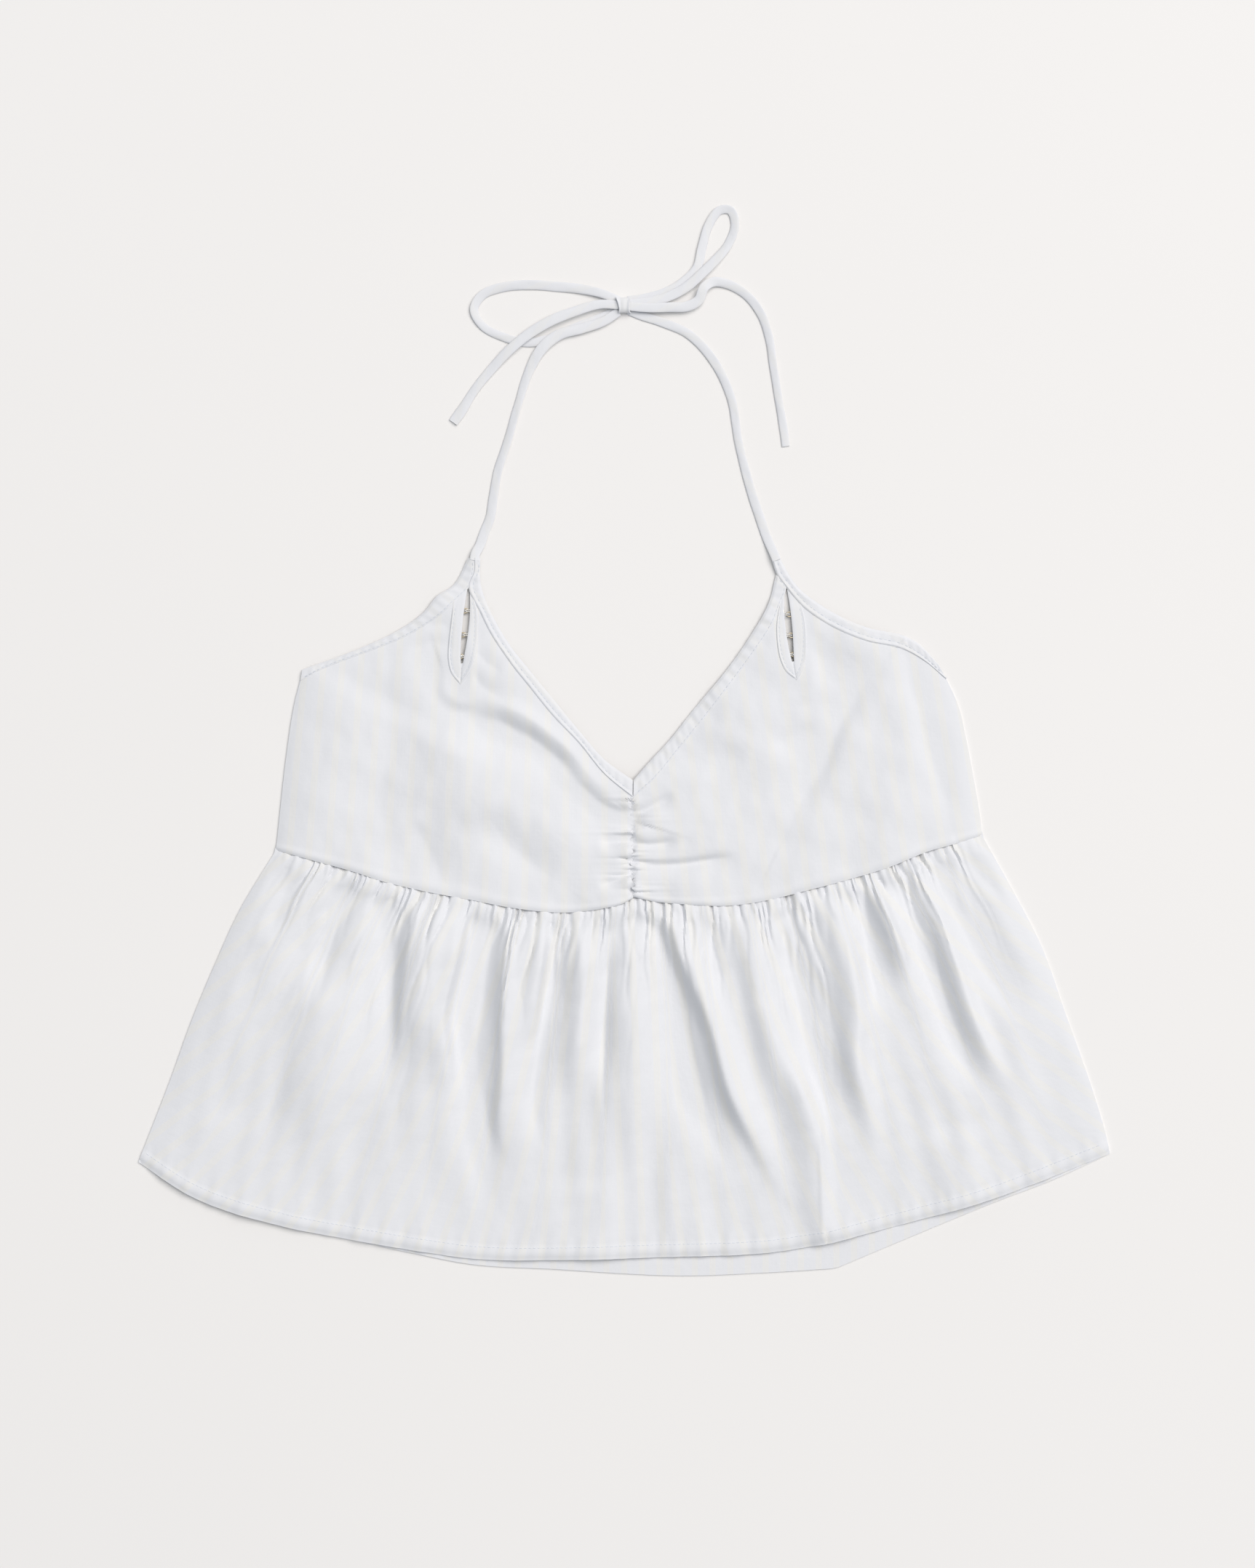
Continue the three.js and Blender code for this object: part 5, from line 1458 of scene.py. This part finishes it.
def wire_finish(name, colour, roughness):
    finish = Finish(name)
    place = finish.node("ShaderNodeTexCoord", {}, {}, out=3)
    worn = finish.noise(place, 1400, 3.0)
    shade = finish.mix(worn, four(colour), four(colour, 0.7))
    return finish.surface(shade, worn * 0.25 + roughness, worn, 0.00003, Metallic=0.6)


def floor_finish(name):
    finish = Finish(name)
    place = finish.node("ShaderNodeTexCoord", {}, {}, out=3)
    tone = finish.noise(place, 3, 2.0)
    colour = finish.mix(tone, four(colours().floor), four(colours().floor, 0.985))
    return finish.surface(colour, 0.9)


FINISHES = {
    "stripes": lambda name: cotton(name, 1.0),
    "bias": lambda name: cotton(name, 0.55),
    "tape": lambda name: cotton(name, 0.5),
    "thread": thread_finish,
    "steel": lambda name: wire_finish(name, colours().steel, 0.2),
    "brass": lambda name: wire_finish(name, colours().brass, 0.22),
    "floor": floor_finish,
}


def material(name):
    return bpy.data.materials.get(name) or FINISHES[name](name)


# What a user may change

def length(name, description, default):
    return bpy.props.FloatProperty(
        name=name, description=description, default=default, min=0, unit="LENGTH", precision=5)


def colour(name, description, default):
    return bpy.props.FloatVectorProperty(
        name=name, description=description, default=default, size=3, min=0, max=1,
        subtype="COLOR")


class HalterSizes(bpy.types.PropertyGroup):
    """Sizes of the cloth's pattern"""

    stripe_pitch: length("Stripe pitch", "From one cream stripe to the next", 0.0116)
    stripe_width: length("Stripe width", "Width of a cream stripe with its pin lines", 0.0040)
    thread: length("Thread", "Pitch of the weave", 0.0006)


class HalterColours(bpy.types.PropertyGroup):
    """Colours of cloth, metal and floor"""

    ground: colour("Blue", "The cloth's pale blue ground", (0.757, 0.768, 0.800))
    ground_deep: colour("Deeper blue", "Where the ground took more dye", (0.746, 0.759, 0.795))
    ground_light: colour("Pale blue", "Paler threads in the ground", (0.770, 0.778, 0.804))
    cream: colour("Cream", "The pin stripes", (0.778, 0.776, 0.766))
    thread: colour("Thread", "The topstitching", (0.72, 0.76, 0.82))
    steel: colour("Steel", "The hooks' wire", (0.86, 0.84, 0.80))
    brass: colour("Brass", "The eyes' wire", (0.78, 0.68, 0.50))
    floor: colour("Floor", "The pale surface", (0.85, 0.84, 0.832))


class HalterLight(bpy.types.PropertyGroup):
    """Strengths of the soft studio light"""

    key: bpy.props.FloatProperty(
        name="Key", description="Power of the large soft light at the upper right", default=795)
    fill: bpy.props.FloatProperty(
        name="Fill", description="Strength of the even light all round", default=0.42)


# Stage

CAMERA_LENS = 80
CAMERA_SENSOR = 36
FRAME_HEIGHT = 0.895
FRAME_MIDDLE = (0.0019, 0.0751)
FLOOR_SIZE = 40
KEY_AT = (3.4, 3.1, 8.2)
KEY_SIZE = 7.5
KEY_COLOUR = (1.0, 0.955, 0.915)
SKY_COLOUR = (0.90, 0.95, 1.0, 1)


def stage():
    scene = bpy.context.scene
    bpy.ops.object.select_all(action="DESELECT")
    bpy.ops.mesh.primitive_grid_add(x_subdivisions=8, y_subdivisions=8, size=FLOOR_SIZE)
    floor = added("floor")
    floor.data.materials.append(material("floor"))

    away = FRAME_HEIGHT * CAMERA_LENS / CAMERA_SENSOR
    bpy.ops.object.camera_add(location=(*FRAME_MIDDLE, away), rotation=(0, 0, 0))
    camera = bpy.context.active_object
    camera.data.lens = CAMERA_LENS
    camera.data.sensor_width = CAMERA_SENSOR
    scene.camera = camera

    light = scene.halter_light
    bpy.ops.object.light_add(type="AREA", location=KEY_AT)
    key = bpy.context.active_object
    key.data.shape = "RECTANGLE"
    key.data.size = key.data.size_y = KEY_SIZE
    key.data.energy = light.key
    key.data.color = KEY_COLOUR
    key.rotation_euler = (-Vector(KEY_AT)).to_track_quat("-Z", "Y").to_euler()

    world = bpy.data.worlds.new("studio")
    world.use_nodes = True
    sky = world.node_tree.nodes["Background"]
    sky.inputs["Color"].default_value = SKY_COLOUR
    sky.inputs["Strength"].default_value = light.fill
    scene.world = world
    scene.view_settings.view_transform = "Standard"


CORD_FACTS = {
    "tie_left_strap": "knot", "tie_right_strap": "knot", "bow_loop_left": "knot",
    "bow_loop_right": "knot", "bow_tail_left": "knot", "bow_tail_right": "bare",
}


def tapes():
    knot = bow_knot()
    for name, far_end in CORD_FACTS.items():
        obj, path = tape(name)


# Operators

class HALTER_OT_stage(bpy.types.Operator):
    """Adds the pale floor, the soft light and the camera straight above"""

    bl_idname = "halter.stage"
    bl_label = "Stage"

    def execute(self, context):
        stage()
        return {"FINISHED"}


class HALTER_OT_tapes(bpy.types.Operator):
    """Makes the straps, the bow's loops and ends, and its knot"""

    bl_idname = "halter.tapes"
    bl_label = "Tapes and bow"

    def execute(self, context):
        tapes()
        return {"FINISHED"}


class HALTER_OT_back(bpy.types.Operator):
    """Lays out the back bodice and the two parts of the back peplum"""

    bl_idname = "halter.back"
    bl_label = "Back panels"

    def execute(self, context):
        back_panels()
        return {"FINISHED"}


class HALTER_OT_bodice(bpy.types.Operator):
    """Makes the two halves of the front bodice, gathered at the centre"""

    bl_idname = "halter.bodice"
    bl_label = "Front bodice"

    def execute(self, context):
        for side in HALVES:
            front_bodice(side)
        return {"FINISHED"}


class HALTER_OT_peplum(bpy.types.Operator):
    """Makes the front peplum, gathered to the waist"""

    bl_idname = "halter.peplum"
    bl_label = "Front peplum"

    def execute(self, context):
        front_peplum()
        return {"FINISHED"}


class HALTER_OT_bands(bpy.types.Operator):
    """Binds the neck and the armholes"""

    bl_idname = "halter.bands"
    bl_label = "Bands"

    def execute(self, context):
        for side in HALVES:
            for kind in NODE_OF_BAND:
                band(side, kind)
        return {"FINISHED"}


class HALTER_OT_plackets(bpy.types.Operator):
    """Sews the pointed strip round each keyhole"""

    bl_idname = "halter.plackets"
    bl_label = "Keyhole plackets"

    def execute(self, context):
        for side in HALVES:
            placket(side)
        return {"FINISHED"}


class HALTER_OT_hooks(bpy.types.Operator):
    """Bends the hooks and eyes in the two slits"""

    bl_idname = "halter.hooks"
    bl_label = "Hooks and eyes"

    def execute(self, context):
        for side in HALVES:
            hooks_and_eyes(side)
        return {"FINISHED"}


class HALTER_OT_stitches(bpy.types.Operator):
    """Runs the topstitching along bands, plackets and hem"""

    bl_idname = "halter.stitches"
    bl_label = "Topstitching"

    def execute(self, context):
        for side in HALVES:
            rows = [band_stitches(side, kind) for kind in NODE_OF_BAND]
            stitch_rows(f"stitches_bodice_{side}", rows + placket_stitches(side))
        stitch_rows("stitches_hem", [hem_stitches()])
        return {"FINISHED"}


class HALTER_OT_sheets(bpy.types.Operator):
    """Does nothing; it states no cut sizes"""

    bl_idname = "halter.sheets"
    bl_label = "Cut sizes"

    def execute(self, context):
        return {"FINISHED"}


OPERATORS = (
    HALTER_OT_stage, HALTER_OT_tapes, HALTER_OT_back, HALTER_OT_bodice, HALTER_OT_peplum,
    HALTER_OT_bands, HALTER_OT_plackets, HALTER_OT_hooks, HALTER_OT_stitches, HALTER_OT_sheets,
)


class HALTER_PT_panel(bpy.types.Panel):
    """The garment's pieces, sizes and colours"""

    bl_idname = "HALTER_PT_panel"
    bl_label = "Halter neck top"
    bl_space_type = "VIEW_3D"
    bl_region_type = "UI"
    bl_category = "Halter top"

    def draw(self, context):
        column = self.layout.column()
        for operator in OPERATORS:
            column.operator(operator.bl_idname)
        for group in PROPERTIES:
            values = getattr(context.scene, group)
            for name in values.__annotations__:
                column.prop(values, name)


PROPERTIES = {
    "halter_sizes": HalterSizes, "halter_colours": HalterColours, "halter_light": HalterLight,
}
CLASSES = (*PROPERTIES.values(), *OPERATORS, HALTER_PT_panel)


def register():
    for cls in CLASSES:
        bpy.utils.register_class(cls)
    for name, group in PROPERTIES.items():
        setattr(bpy.types.Scene, name, bpy.props.PointerProperty(type=group))


def unregister():
    for name in PROPERTIES:
        delattr(bpy.types.Scene, name)
    for cls in reversed(CLASSES):
        bpy.utils.unregister_class(cls)


def main():
    register()
    for operator in OPERATORS:
        group, name = operator.bl_idname.split(".")
        getattr(getattr(bpy.ops, group), name)()


if __name__ == "__main__":
    main()
